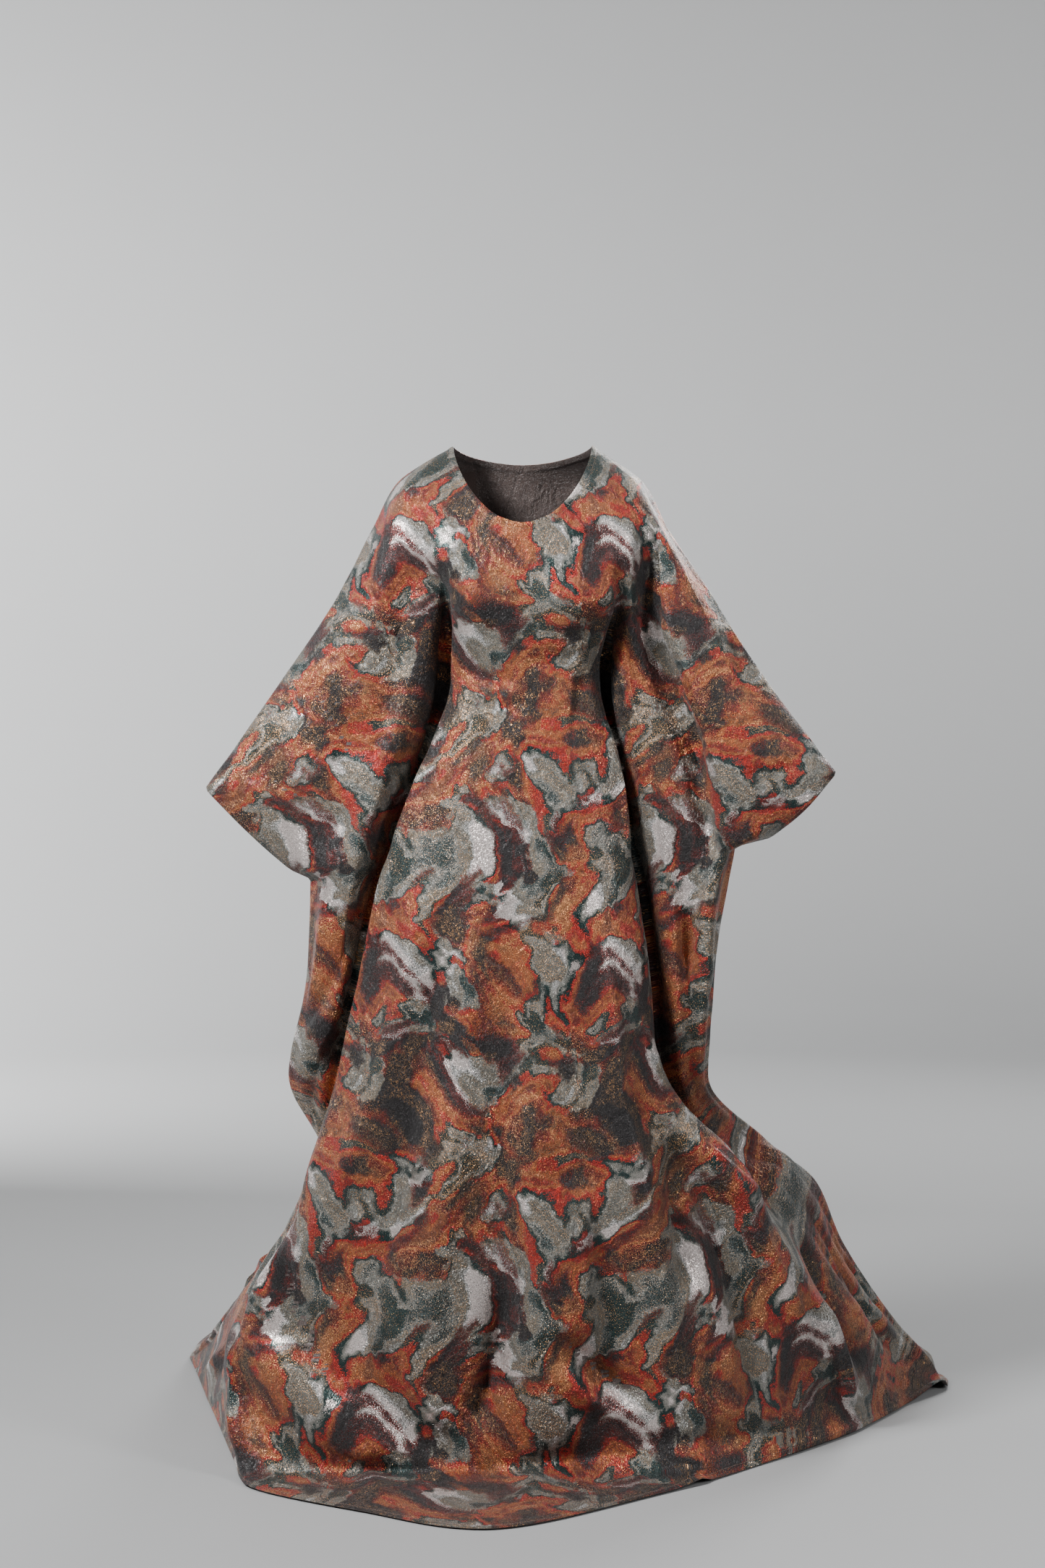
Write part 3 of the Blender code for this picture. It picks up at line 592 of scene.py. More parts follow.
WAVES = (
    # wavelength   height   count
    (260, 1.3, 10),
    (110, 0.6, 14),
    (45, 0.22, 18),
)
WAVE_UPRIGHT = 0.55
WAVE_SEED = 7
CALM_HEIGHT = 50 * MM
CALM_SHARE = 0.15

def places_between(lengths, spacing):
    """Fractional places along a table: between each pair of entries as many steps as the length
    there needs at this spacing."""
    steps = np.clip(np.ceil(lengths / spacing).astype(int), FEWEST_STEPS, MOST_STEPS)
    spans = [np.arange(count) / count + index for index, count in enumerate(steps)]
    return np.concatenate(spans + [[float(len(steps))]])


def mean_lengths(first, last, facing):
    """Mean lengths of the worn form between neighbouring landmarks and between stations."""
    across = np.linspace(first, last, (last - first) * READS_ACROSS + 1)
    down = np.linspace(0, len(STATIONS) - 1, (len(STATIONS) - 1) * READS_DOWN + 1)
    grid = worn_form(np.mod(across, ROUND), down, facing)
    along = np.linalg.norm(np.diff(grid, axis=1), axis=2).mean(axis=0)
    downwards = np.linalg.norm(np.diff(grid, axis=0), axis=2).mean(axis=1)
    return along.reshape(-1, READS_ACROSS).sum(axis=1), downwards.reshape(-1, READS_DOWN).sum(axis=1)


def laid_flat(points, middle, waist):
    """Flat places of a grid of cloth points, in metres from the middle column and the neck edge.

    It starts from the length along each row from the middle column and along each column from
    the waist row. Each edge and diagonal of a coarser grid then pulls or pushes its two ends
    towards its worn length, many times over, as a cutter smooths the cloth out on a table.
    """
    rows = np.unique(np.linspace(0, points.shape[0] - 1, FLAT_ROWS).round().astype(int))
    columns = np.unique(np.linspace(0, points.shape[1] - 1, FLAT_COLUMNS).round().astype(int))
    coarse = points[np.ix_(rows, columns)]
    flat = np.zeros(coarse.shape[:2] + (2,))
    flat[:, 1:, 0] = np.cumsum(np.linalg.norm(np.diff(coarse, axis=1), axis=2), axis=1)
    flat[1:, :, 1] = np.cumsum(np.linalg.norm(np.diff(coarse, axis=0), axis=2), axis=0)
    flat[:, :, 0] -= flat[:, np.abs(columns - middle).argmin()][:, :1]
    flat[:, :, 1] -= flat[np.abs(rows - waist).argmin()][None, :, 1]
    whole, later, earlier = slice(None), slice(1, None), slice(None, -1)
    links = (((whole, later), (whole, earlier)), ((later, whole), (earlier, whole)),
             ((later, later), (earlier, earlier)), ((later, earlier), (earlier, later)))
    worn = [np.linalg.norm(coarse[end] - coarse[start], axis=2, keepdims=True) for end, start in links]
    count = np.zeros(flat.shape)
    for end, start in links:
        count[end] += 1
        count[start] += 1
    for _ in range(FLAT_STEPS):
        push = np.zeros(flat.shape)
        for (end, start), length in zip(links, worn):
            gap = flat[end] - flat[start]
            now = np.maximum(np.linalg.norm(gap, axis=2, keepdims=True), TINY)
            move = 0.5 * (1 - length / now) * gap
            push[end] -= move
            push[start] += move
        flat += FLAT_PULL * push / count
    flat[:, :, 1] -= flat[0, np.abs(columns - middle).argmin(), 1]
    row = np.interp(np.arange(points.shape[0]), rows, np.arange(len(rows)))
    column = np.interp(np.arange(points.shape[1]), columns, np.arange(len(columns)))
    return between(flat, row, column)


def between(grid, row, column):
    """Values of a grid at all pairs of fractional rows and columns, in straight lines between."""
    top = np.clip(np.floor(row).astype(int), 0, grid.shape[0] - 2)
    left = np.clip(np.floor(column).astype(int), 0, grid.shape[1] - 2)
    low = (row - top)[:, None, None]
    side = (column - left)[None, :, None]
    upper = grid[top][:, left] * (1 - side) + grid[top][:, left + 1] * side
    lower = grid[top + 1][:, left] * (1 - side) + grid[top + 1][:, left + 1] * side
    return upper * (1 - low) + lower * low


def beside_curve(flat, curve):
    """Three grids: the distance of each flat place from a curve of straight runs, the side of the
    curve that it lies on, as -1 or 1, and how far along the curve it is nearest, from 0 to 1."""
    best = np.full(flat.shape[:2], np.inf)
    side, where = np.zeros(best.shape), np.zeros(best.shape)
    for index in range(len(curve) - 1):
        run = curve[index + 1] - curve[index]
        reach = flat - curve[index]
        along = np.clip(reach @ run / (run @ run), 0, 1)
        distance = np.linalg.norm(reach - along[:, :, None] * run, axis=2)
        nearer = distance < best
        best = np.where(nearer, distance, best)
        side = np.where(nearer, np.sign(run[0] * reach[:, :, 1] - run[1] * reach[:, :, 0]), side)
        where = np.where(nearer, (index + along) / (len(curve) - 1), where)
    return best, side, where


def crease_height(flat, across, down):
    """How far the kept creases stand off the form.

    Each crease is a curve through three places of the flat cloth. Beside it the height falls off
    exponentially from a rounded crest, as stiff cloth does, more slowly on one side where it
    leans, and it runs out softly at both ends.
    """
    height = np.zeros(flat.shape[:2])
    part = np.linspace(0, 1, CREASE_POINTS)[:, None]
    for crease in CREASES:
        spots = np.array(crease[:6]).reshape(3, 2)
        half_width, depth, lean = crease[6:]
        if spots[:, 0].min() <= across[0] or spots[:, 0].max() >= across[-1]:
            continue
        column = np.interp(spots[:, 0], across, np.arange(len(across)))
        row = np.interp(spots[:, 1], down, np.arange(len(down)))
        start, middle, end = [between(flat, row[i:i + 1], column[i:i + 1])[0, 0] for i in range(3)]
        curve = (start * (1 - part) * (1 - 2 * part) + middle * 4 * part * (1 - part)
                 + end * part * (2 * part - 1))
        distance, side, where = beside_curve(flat, curve)
        width = half_width * MM * (1 + lean * side)
        crest = CREST * width
        fall = (np.sqrt(distance ** 2 + crest ** 2) - crest) / (width * (1 - CREST))
        height += depth * MM * np.exp(-fall) * eased(np.minimum(where, 1 - where) / CREASE_END)
    return height


def curled_tip(across, down):
    """How far the hem curls up at its right tip: a hill across that grows towards the edge."""
    grow = eased((down - CURL_START) / (len(STATIONS) - 1 - CURL_START))
    return CURL_HEIGHT * hill((across - CURL_MIDDLE) / CURL_HALF_WIDTH) * grow[:, None]


def undulation(points, generator):
    """Slight unevenness of hanging cloth: a sum of slow waves in space, stretched up and down."""
    height = np.zeros(points.shape[:2])
    for wavelength, amplitude, count in WAVES:
        heading = generator.normal(size=(count, 3)) * (1, 1, WAVE_UPRIGHT)
        heading /= np.linalg.norm(heading, axis=1, keepdims=True)
        phase = generator.uniform(0, 2 * np.pi, count)
        for way, start in zip(heading, phase):
            turn = points @ way * 2 * np.pi / (wavelength * MM)
            height += amplitude * MM / math.sqrt(count) * np.sin(turn + start)
    return height


def creased_form(across, down, facing):
    """The worn form with its creases, its flat places, and how far each point lies from the nearer
    seam, which is less than 0 in the columns past the seams."""
    base = worn_form(np.mod(across, ROUND), down, facing)
    middle = np.abs(across - (FRONT_MIDDLE if facing < 0 else BACK_MIDDLE)).argmin()
    flat = laid_flat(base, middle, STATIONS.index("waist") * DENSE_ROWS)
    from_seam = np.cumsum(np.linalg.norm(np.diff(base, axis=1, prepend=base[:, :1]), axis=2), axis=1)
    from_seam -= from_seam[:, 1:2]
    from_seam = np.minimum(from_seam, from_seam[:, -2:-1] - from_seam)
    height = crease_height(flat, across, down) * eased(from_seam / SEAM_FADE)
    calm = np.clip(base[:, :, 2] / CALM_HEIGHT, CALM_SHARE, 1)
    height += undulation(base, np.random.default_rng(WAVE_SEED)) * calm
    creased = base + height[:, :, None] * outward(base)
    creased[:, :, 2] += curled_tip(across, down)
    return creased, flat, from_seam


def evenly_down(values, length, downwards):
    """Columns of values, known at the lengths from the neck edge, read again at even rows, and how
    far each new point lies from the nearer of the neck edge and the hem. Beside both edges the
    rows lie at EDGE_DISTANCES from them."""
    near = np.array(EDGE_DISTANCES)[:, None] * MM
    rows = places_between(downwards, ROW_SPACING)[1:-1] * DENSE_ROWS
    total = length[-1]
    shrink = (total - 2 * near[-1]) / total
    inner = near[-1] + read_again(rows, np.arange(len(length)), length) * shrink
    wanted = np.concatenate([near + 0 * total, inner, total - near[::-1]])
    read = [read_again(wanted[:, c], length[:, c], values[:, c]) for c in range(length.shape[1])]
    return np.stack(read, axis=1), np.minimum(wanted, total - wanted)


def beside_cuff(station):
    """Whether the seam columns are the cuff's open edge at these stations."""
    return (station > CUFF_ROWS[0]) & (station < CUFF_ROWS[1])


def cloth_grid(first, last, thickness):
    """Outer and inner points of one piece, with its flat places, normals and stations.

    The form is read on dense rows, with one column past each seam so that the normals of both
    pieces agree there, and each column is read again at even rows. Beside the edges the outer
    points swell to a turned hem that ends in a groove. The inner points lie inside by the
    thickness. Points below the floor rise to it.
    """
    facing = -1 if first == LEFT_LINE else 1
    along, downwards = mean_lengths(first, last, facing)
    across = first + places_between(along, COLUMN_SPACING)
    across = np.concatenate([[2 * first - across[1]], across, [2 * last - across[-2]]])
    down = np.linspace(0, len(STATIONS) - 1, (len(STATIONS) - 1) * DENSE_ROWS + 1)
    form, flat, from_seam = creased_form(across, down, facing)
    length = np.cumsum(np.linalg.norm(np.diff(form, axis=0, prepend=form[:1]), axis=2), axis=0)
    stations = np.repeat(down[:, None], len(across), axis=1)
    values = np.concatenate([form, flat, np.stack([from_seam, stations], axis=2)], axis=2)
    read, from_edge = evenly_down(values, length, downwards)
    outer, flat, from_seam, station = read[:, :, :3], read[:, :, 3:5], read[:, :, 5], read[:, :, 6]

    normal = outward(outer)
    tangent = outer[:, 2:] - outer[:, :-2]
    tangent /= np.maximum(np.linalg.norm(tangent, axis=2, keepdims=True), TINY)
    from_edge = np.minimum(from_edge, np.where(beside_cuff(station), np.maximum(from_seam, 0), np.inf))
    hem = np.clip((HEM_WIDTH * (1 + HEM_STEP / 2) - from_edge) / (HEM_WIDTH * HEM_STEP), 0, 1)
    rounded = np.clip(from_edge / (HEM_WIDTH * HEM_ROUNDING), 0, 1)
    groove = np.exp(-((from_edge - HEM_WIDTH) / GROOVE_HALF_WIDTH) ** 2)
    outer = outer + (HEM_SWELL * hem * rounded - GROOVE_DEPTH * groove)[:, :, None] * normal
    inner = outer - (thickness * (1 + HEM_EXTRA * hem * rounded))[:, :, None] * normal

    outer, inner, flat = outer[:, 1:-1].copy(), inner[:, 1:-1].copy(), flat[:, 1:-1]
    for edge, way in ((0, 1), (-1, -1)):
        outer[:, edge] += tangent[:, edge] * SEAM_GAP / 2 * way
        slip = np.sum((inner[:, edge] - outer[:, edge]) * tangent[:, edge], axis=1, keepdims=True)
        inner[:, edge] -= slip * tangent[:, edge]
    rise = np.maximum(FLOOR_LIFT - np.minimum(outer[:, :, 2], inner[:, :, 2]), 0)
    outer[:, :, 2] += rise
    inner[:, :, 2] += rise
    origin = np.array([0, 0, SHOULDER_HEIGHT])
    return outer - origin, inner - origin, flat, normal[:, 1:-1], station[:, 1:-1]


def grid_faces(rows, columns, start=0, turned=False):
    """Four-cornered faces of a grid of points, whose numbers begin at start."""
    number = start + np.arange(rows * columns).reshape(rows, columns)
    corners = (number[:-1, :-1], number[1:, :-1], number[1:, 1:], number[:-1, 1:])
    if turned:
        corners = corners[::-1]
    return np.stack(corners, axis=-1).reshape(-1, 4)


def rim_faces(rows, columns):
    """Four-cornered faces that close a shell between its outer and its inner grid."""
    number = np.arange(rows * columns).reshape(rows, columns)
    border = np.concatenate([number[0, :-1], number[:-1, -1], number[-1, :0:-1], number[:0:-1, 0]])
    after = np.roll(border, -1)
    return np.stack([border, after, after + rows * columns, border + rows * columns], axis=1)


def shell_mesh(name, outer, inner, flat):
    """A closed shell with the flat places of its cloth as a UV map in metres, and an attribute
    that is 1 on its reverse."""
    rows, columns = outer.shape[:2]
    points = np.concatenate([outer.reshape(-1, 3), inner.reshape(-1, 3)])
    faces = np.concatenate([grid_faces(rows, columns), rim_faces(rows, columns),
                            grid_faces(rows, columns, rows * columns, turned=True)])
    mesh = bpy.data.meshes.new(name)
    mesh.from_pydata(points.tolist(), [], faces.tolist())
    corners = np.empty(len(mesh.loops), dtype=np.int32)
    mesh.loops.foreach_get("vertex_index", corners)
    both = np.concatenate([flat.reshape(-1, 2)] * 2)
    mesh.uv_layers.new(name="cloth").data.foreach_set("uv", both[corners].ravel())
    reverse = np.repeat((0.0, 1.0), rows * columns)
    mesh.attributes.new("reverse", "FLOAT", "POINT").data.foreach_set("value", reverse)
    mesh.update()
    mesh.validate()
    mesh.shade_smooth()
    mesh.set_sharp_from_angle(angle=math.radians(SHARP_ANGLE))
    return mesh


# Sewing: rows of short stitches beside the edges

# STITCH_END and STITCH_BOW are parts of the radius: how thick a stitch is at its ends, and how far
# its middle bows out of the cloth.

STITCH_LENGTH = 2.6 * MM
STITCH_PITCH = 3.6 * MM
STITCH_AHEAD = STITCH_PITCH / 8
STITCH_RADIUS = 0.32 * MM
STITCH_END = 0.2
STITCH_BOW = 0.7
STITCH_SIDES = 6
STITCH_RINGS = 5


def stitches_mesh(name, lines):
    """Short thread loops along lines of cloth points.

    Every stitch is a spindle: rings of points round a short axis along the line, thickest in the
    middle, half sunk in the cloth, one every STITCH_PITCH along the line's length.
    """
    places, nexts, ups = [], [], []
    for points, normals in lines:
        length = lengths_along(points)
        middles = np.arange(STITCH_PITCH, length[-1] - STITCH_PITCH, STITCH_PITCH)
        places.append(read_again(middles, length, points))
        nexts.append(read_again(middles + STITCH_AHEAD, length, points))
        ups.append(read_again(middles, length, normals))
    place, up = np.concatenate(places), np.concatenate(ups)
    heading = np.concatenate(nexts) - place
    heading /= np.linalg.norm(heading, axis=1, keepdims=True)
    up /= np.linalg.norm(up, axis=1, keepdims=True)
    side = np.cross(heading, up)
    along = np.linspace(-1, 1, STITCH_RINGS)[:, None]
    angle = np.arange(STITCH_SIDES) * 2 * np.pi / STITCH_SIDES
    thick = STITCH_RADIUS * np.sqrt(1 + STITCH_END ** 2 - along ** 2)
    bow = STITCH_RADIUS * STITCH_BOW * (1 - along ** 2)
    offsets = (along * STITCH_LENGTH / 2 + 0 * angle, bow + thick * np.sin(angle), thick * np.cos(angle))
    points = place[:, None, None] + sum(axis[:, None, None] * offset[:, :, None]
                                        for axis, offset in zip((heading, up, side), offsets))
    ring = np.arange(STITCH_RINGS * STITCH_SIDES).reshape(STITCH_RINGS, STITCH_SIDES)
    after = np.roll(ring, -1, axis=1)
    walls = np.stack([ring[:-1], after[:-1], after[1:], ring[1:]], axis=-1).reshape(-1, 4)
    starts = (np.arange(len(place)) * ring.size)[:, None, None]
    faces = (walls[None] + starts).reshape(-1, 4).tolist()
    caps = np.stack([ring[0, ::-1], ring[-1]])
    faces += (caps[None] + starts).reshape(-1, STITCH_SIDES).tolist()
    mesh = bpy.data.meshes.new(name)
    mesh.from_pydata(points.reshape(-1, 3).tolist(), [], faces)
    mesh.update()
    mesh.shade_smooth()
    return mesh


# Materials

# The pattern's noises: waves for each metre, detail and roughness.

WARP_NOISE = (5.7, 1.0, 0.5)
RIPPLE_NOISE = (34.0, 3.0, 0.6)
REGION_NOISE = (14.1, 2.0, 0.5)
CLOUD_NOISE = (17.3, 2.0, 0.5)

# How a noise is spread over its bands: gain, middle, and how far the threads bite into the edges.

REGION_SPREAD = (3.0, -0.03, 0.16)
HEAT_SPREAD = (3.4, 0.5, 0.45)
CHILL_SPREAD = (4.0, 0.5, 0.4)
CLOUD_SPREAD = (3.0, 0.0, 0.7)
RIM_GAIN = 2.6
RIM_MIDDLE = 0.62
RIM_BITE = 0.1

# Bands of yarn: where each begins and its yarn.

WARM_BANDS = (
    (0.00, "charcoal"), (0.15, "wine"), (0.23, "brick"), (0.40, "crimson"), (0.45, "rust"),
    (0.48, "copper"), (0.53, "honey"), (0.57, "copper"), (0.61, "crimson"), (0.67, "brick"),
    (0.84, "rust"),
)
COOL_BANDS = (
    (0.00, "teal"), (0.14, "slate"), (0.24, "silver"), (0.34, "ash"), (0.44, "silver"),
    (0.52, "slate"), (0.56, "ash"), (0.62, "silver"), (0.70, "pearl"), (0.79, "satin"),
)
RIM_BANDS = ((0.00, "silver"), (0.22, "teal"), (0.47, "crimson"), (0.74, "copper"))

# Soft steps: the value where each is 0 and the value where it is 1.

WARM_SIDE = (-0.005, 0.005)
RIM_COOL_END = (-0.235, -0.23)
RIM_WARM_END = (0.125, 0.12)
RIM_HEAT = (0.44, 0.46)
CLOUD_RIM = (0.12, 0.13)
CLOUD_FRINGE = (0.47, 0.5)
CLOUD = (0.21, 0.26)
SPECK = (0.15, 0.19)
GLINT_RIDGE = (0.9, 1.0)
GLINT_WARM = (0.12, 0.2)
NO_SATIN = (0.76, 0.70)
SATIN = (0.78, 0.9)
SATIN_COOL = (0.0, -0.05)
RIDGE_SLOPE = (0.0, 0.11)

# The weave: a cell is as tall as its width divided by the stretch. The values after those say how
# unevenly the gilt sets in, how far the gilt and the painted glints turn the colour to gold, how far
# the crinkle's ridges are painted lighter and its hollows darker (painted shade) and the threads'
# tone varies, and how far the yarns shine and stand out.

THREAD_STRETCH = 0.65
CRINKLE_STRETCH = 0.7
PUCKER_SCALE = 0.16
GILT_UNEVEN = 0.7
GILT_UNDER_CLOUD = 0.7
GILT_AND_GLINT_SHARE = 0.6
SHADE = 0.50
RIDGE_SHADE = 0.45
THREAD_SHADE = 1.2
METAL = 0.5
GLINT_METAL = 0.4
ROUGH = 0.41
SATIN_ROUGH = -0.14
GILT_ROUGH = -0.09
PUCKER_HEIGHT = 3.0
THREAD_HEIGHT = 0.6
SATIN_CALM = 0.75
SPECULAR = 0.45
SHEEN = 0.08

# The sewing thread's plies, with painted shade in the grooves between them, and the mottling of the studio.

PLY_SCALE = 900.0
PLY_WAVER = 0.6
PLY_GROOVE_SHADE = 0.6
PLY_RELIEF = 0.1 * MM
MOTTLE_SCALE = 3.0
MOTTLE_DARK = 0.97


def opaque(colour):
    """A colour as a shader socket takes it."""
    return tuple(colour) + (1.0,)


class Wiring:
    """A new material and short calls that add the nodes it needs."""

    def __init__(self, name):
        self.material = bpy.data.materials.new(name)
        self.material.use_nodes = True
        self.tree = self.material.node_tree
        self.shader = self.tree.nodes["Principled BSDF"]

    def node(self, kind, inputs=None, **settings):
        """A node with its settings, and its inputs set or joined by name or number."""
        node = self.tree.nodes.new("ShaderNode" + kind)
        for name, value in settings.items():
            setattr(node, name, value)
        for name, value in (inputs or {}).items():
            self.put(value, node.inputs[name])
        return node

    def put(self, value, socket):
        """Join a socket to an input, or set the input to a number, a vector or a colour."""
        if isinstance(value, bpy.types.NodeSocket):
            self.tree.links.new(value, socket)
        else:
            socket.default_value = value

    def finish(self, **inputs):
        """The material, once the shader's inputs are set or joined, with _ for a space in names."""
        for name, value in inputs.items():
            self.put(value, self.shader.inputs[name.replace("_", " ")])
        return self.material

    def math(self, operation, *values):
        """One Math node's result."""
        return self.node("Math", dict(enumerate(values)), operation=operation).outputs[0]

    def total(self, first, *others):
        """The sum of several values."""
        for other in others:
            first = self.math("ADD", first, other)
        return first

    def times(self, first, *others):
        """The product of several values."""
        for other in others:
            first = self.math("MULTIPLY", first, other)
        return first

    def rest(self, value):
        """What is left of 1."""
        return self.math("SUBTRACT", 1.0, value)

    def centred(self, value, gain):
        """A noise value's distance from its mean, magnified."""
        return self.times(self.math("SUBTRACT", value, 0.5), gain)

    def step(self, value, zero, one):
        """A soft step between the value where it is 0 and the value where it is 1."""
        inputs = {"Value": value, "From Min": zero, "From Max": one}
        return self.node("MapRange", inputs, interpolation_type="SMOOTHSTEP").outputs["Result"]

    def blend(self, share, first, second, style="MIX"):
        """Two colours mixed by a share."""
        node = self.node("Mix", data_type="RGBA", blend_type=style)
        for index, value in ((0, share), (6, first), (7, second)):
            self.put(value, node.inputs[index])
        return node.outputs[2]

    def bands(self, value, stops, yarns):
        """A colour ramp of flat bands, from (place, yarn) stops."""
        node = self.node("ValToRGB", {"Fac": value})
        node.color_ramp.interpolation = "CONSTANT"
        elements = node.color_ramp.elements
        for _ in stops[2:]:
            elements.new(0.5)
        for element, (place, yarn) in zip(elements, stops):
            element.position = place
            element.color = opaque(getattr(yarns, yarn))
        return node.outputs["Color"]


def torus_places(wiring, across, down, weave):
    """The cloth's flat places wound twice round, once for each repeat of the loom, as a point in
    four dimensions: any noise read there repeats across and down, with no seam between repeats."""
    ends = []
    for place, repeat in ((across, weave.repeat_across), (down, weave.repeat_down)):
        turn = wiring.times(place, 2 * math.pi / repeat)
        for operation in ("COSINE", "SINE"):
            ends.append(wiring.times(wiring.math(operation, turn), repeat / (2 * math.pi)))
    vector = wiring.node("CombineXYZ", {0: ends[0], 1: ends[1], 2: ends[2]}).outputs[0]
    return vector, ends[3]


def torus_noise(wiring, place, scale, detail, roughness):
    """Three fields of repeating noise, each about 0.5 on average, as (red, green, blue)."""
    vector, fourth = place
    noise = wiring.node("TexNoise", {"Vector": vector, "W": fourth, "Scale": scale, "Detail": detail,
                                     "Roughness": roughness}, noise_dimensions="4D")
    parts = wiring.node("SeparateColor", {0: noise.outputs["Color"]})
    return parts.outputs[0], parts.outputs[1], parts.outputs[2]


def fine_noise(wiring, flat, width, stretch, **inputs):
    """Noise on the flat cloth, with cells of this width."""
    cells = wiring.node("Mapping", {"Vector": flat, "Scale": (1.0 / width, stretch / width, 1.0)})
    noise = wiring.node("TexNoise", {"Vector": cells.outputs[0], **inputs}, noise_dimensions="2D")
    return noise.outputs["Fac"]


def jacquard(name, yarns, weave):
    """The metallic jacquard: marbled warm and cool regions with dark lines and red borders between
    them, dark clouds and gilt areas that set in thread by thread, smooth satin islands, and a
    crinkled foil relief, painted darker in its hollows and lighter on its ridges, whose highest
    ridges in warm areas carry painted gold glints."""
    wiring = Wiring(name)
    total, times, rest, centred, step = wiring.total, wiring.times, wiring.rest, wiring.centred, wiring.step
    flat = wiring.node("UVMap", uv_map="cloth").outputs["UV"]
    place = wiring.node("SeparateXYZ", {0: flat})
    across, down = place.outputs[0], place.outputs[1]

    still = torus_places(wiring, across, down, weave)
    warp = torus_noise(wiring, still, *WARP_NOISE)
    ripple = torus_noise(wiring, still, *RIPPLE_NOISE)
    moved = [total(start, centred(pull, weave.marbling), centred(wave, weave.ripple))
             for start, pull, wave in ((across, warp[0], ripple[0]), (down, warp[1], ripple[1]))]
    marbled = torus_places(wiring, moved[0], moved[1], weave)
    warmth, heat, chill = torus_noise(wiring, marbled, *REGION_NOISE)
    clouds, gilding, fringe = torus_noise(wiring, marbled, *CLOUD_NOISE)

    thread = fine_noise(wiring, flat, weave.thread, THREAD_STRETCH, Scale=1.0, Detail=1.0, Roughness=0.6)
    bubbles = fine_noise(wiring, flat, weave.crinkle, CRINKLE_STRETCH, Scale=1.0, Detail=1.5, Distortion=1.0)
    pucker = fine_noise(wiring, flat, weave.crinkle, CRINKLE_STRETCH, Scale=PUCKER_SCALE, Detail=1.0,
                        Distortion=1.0)
    grain = centred(thread, 1.0)
    ridge = rest(step(wiring.math("ABSOLUTE", centred(bubbles, 1.0)), *RIDGE_SLOPE))

    def spread(field, gain, middle, bite):
        """A noise spread over its bands, with threads biting into the edges."""
        return total(centred(field, gain), middle, times(grain, bite))

    level, heat_level = spread(warmth, *REGION_SPREAD), spread(heat, *HEAT_SPREAD)
    chill_level, cloud_level = spread(chill, *CHILL_SPREAD), spread(clouds, *CLOUD_SPREAD)
    cool = wiring.bands(chill_level, COOL_BANDS, yarns)
    warm = wiring.bands(heat_level, WARM_BANDS, yarns)
    colour = wiring.blend(step(level, *WARM_SIDE), cool, warm)
    rim = times(step(level, *RIM_COOL_END), step(level, *RIM_WARM_END),
                step(total(heat, times(grain, RIM_BITE)), *RIM_HEAT))
    rims = wiring.bands(total(times(level, RIM_GAIN), RIM_MIDDLE), RIM_BANDS, yarns)
    colour = wiring.blend(rim, colour, rims)

    rim = times(step(cloud_level, *CLOUD_RIM), step(fringe, *CLOUD_FRINGE))
    colour = wiring.blend(rim, colour, opaque(yarns.brick))
    cloud = step(cloud_level, *CLOUD)
    colour = wiring.blend(cloud, colour, opaque(yarns.charcoal))
    speck = times(step(total(grain, centred(gilding, GILT_UNEVEN)), *SPECK),
                  rest(times(cloud, GILT_UNDER_CLOUD)))
    # Painted glints: gold laid on the highest crinkle ridges in warm areas, standing in for highlights. The
    # gilt below joins them to the real gold specks of the yarn.
    painted_glint = times(step(ridge, *GLINT_RIDGE), step(level, *GLINT_WARM))
    gilt_and_painted_glint = times(wiring.math("MAXIMUM", speck, painted_glint), step(chill_level, *NO_SATIN))
    colour = wiring.blend(times(gilt_and_painted_glint, GILT_AND_GLINT_SHARE), colour, opaque(yarns.gold))

    # Painted shade: the colour is darkened in the crinkle's hollows and lightened on its ridges; the thread
    # term is the threads' own uneven tone.
    shade = total(SHADE, times(ridge, RIDGE_SHADE), times(grain, THREAD_SHADE))
    grey = wiring.node("CombineColor", {0: shade, 1: shade, 2: shade}).outputs[0]
    reverse = wiring.node("Attribute", attribute_name="reverse").outputs["Fac"]
    colour = wiring.blend(reverse, wiring.blend(1.0, colour, grey, "MULTIPLY"), opaque(yarns.reverse))

    satin = times(step(chill_level, *SATIN), step(level, *SATIN_COOL), rest(cloud))
    metal = total(METAL, times(wiring.math("MAXIMUM", gilt_and_painted_glint, ridge), GLINT_METAL))
    rough = total(ROUGH, times(satin, SATIN_ROUGH), times(gilt_and_painted_glint, GILT_ROUGH))
    height = total(ridge, times(pucker, PUCKER_HEIGHT), times(thread, THREAD_HEIGHT))
    bump = wiring.node("Bump", {"Height": height, "Strength": rest(times(satin, SATIN_CALM)),
                                "Distance": weave.relief})
    return wiring.finish(Base_Color=colour, Metallic=times(rest(reverse), metal), Roughness=rough,
                         Normal=bump.outputs["Normal"], Specular_IOR_Level=SPECULAR, Sheen_Weight=SHEEN)


def thread_material(name, colour):
    """Twisted sewing thread: slanting plies across each stitch, with painted shade in the grooves between
    them.
    """
    wiring = Wiring(name)
    place = wiring.node("TexCoord").outputs["Object"]
    wave = wiring.node("TexWave", {"Vector": place, "Scale": PLY_SCALE, "Distortion": PLY_WAVER},
                       bands_direction="DIAGONAL").outputs["Fac"]
    # Painted shade: the colour darkens where the plies' relief is low, in the grooves between them.
    shade = wiring.blend(wave, opaque(c * PLY_GROOVE_SHADE for c in colour), opaque(colour))
    bump = wiring.node("Bump", {"Height": wave, "Strength": 0.5, "Distance": PLY_RELIEF})
    return wiring.finish(Base_Color=shade, Roughness=0.55, Sheen_Weight=0.2, Normal=bump.outputs["Normal"])


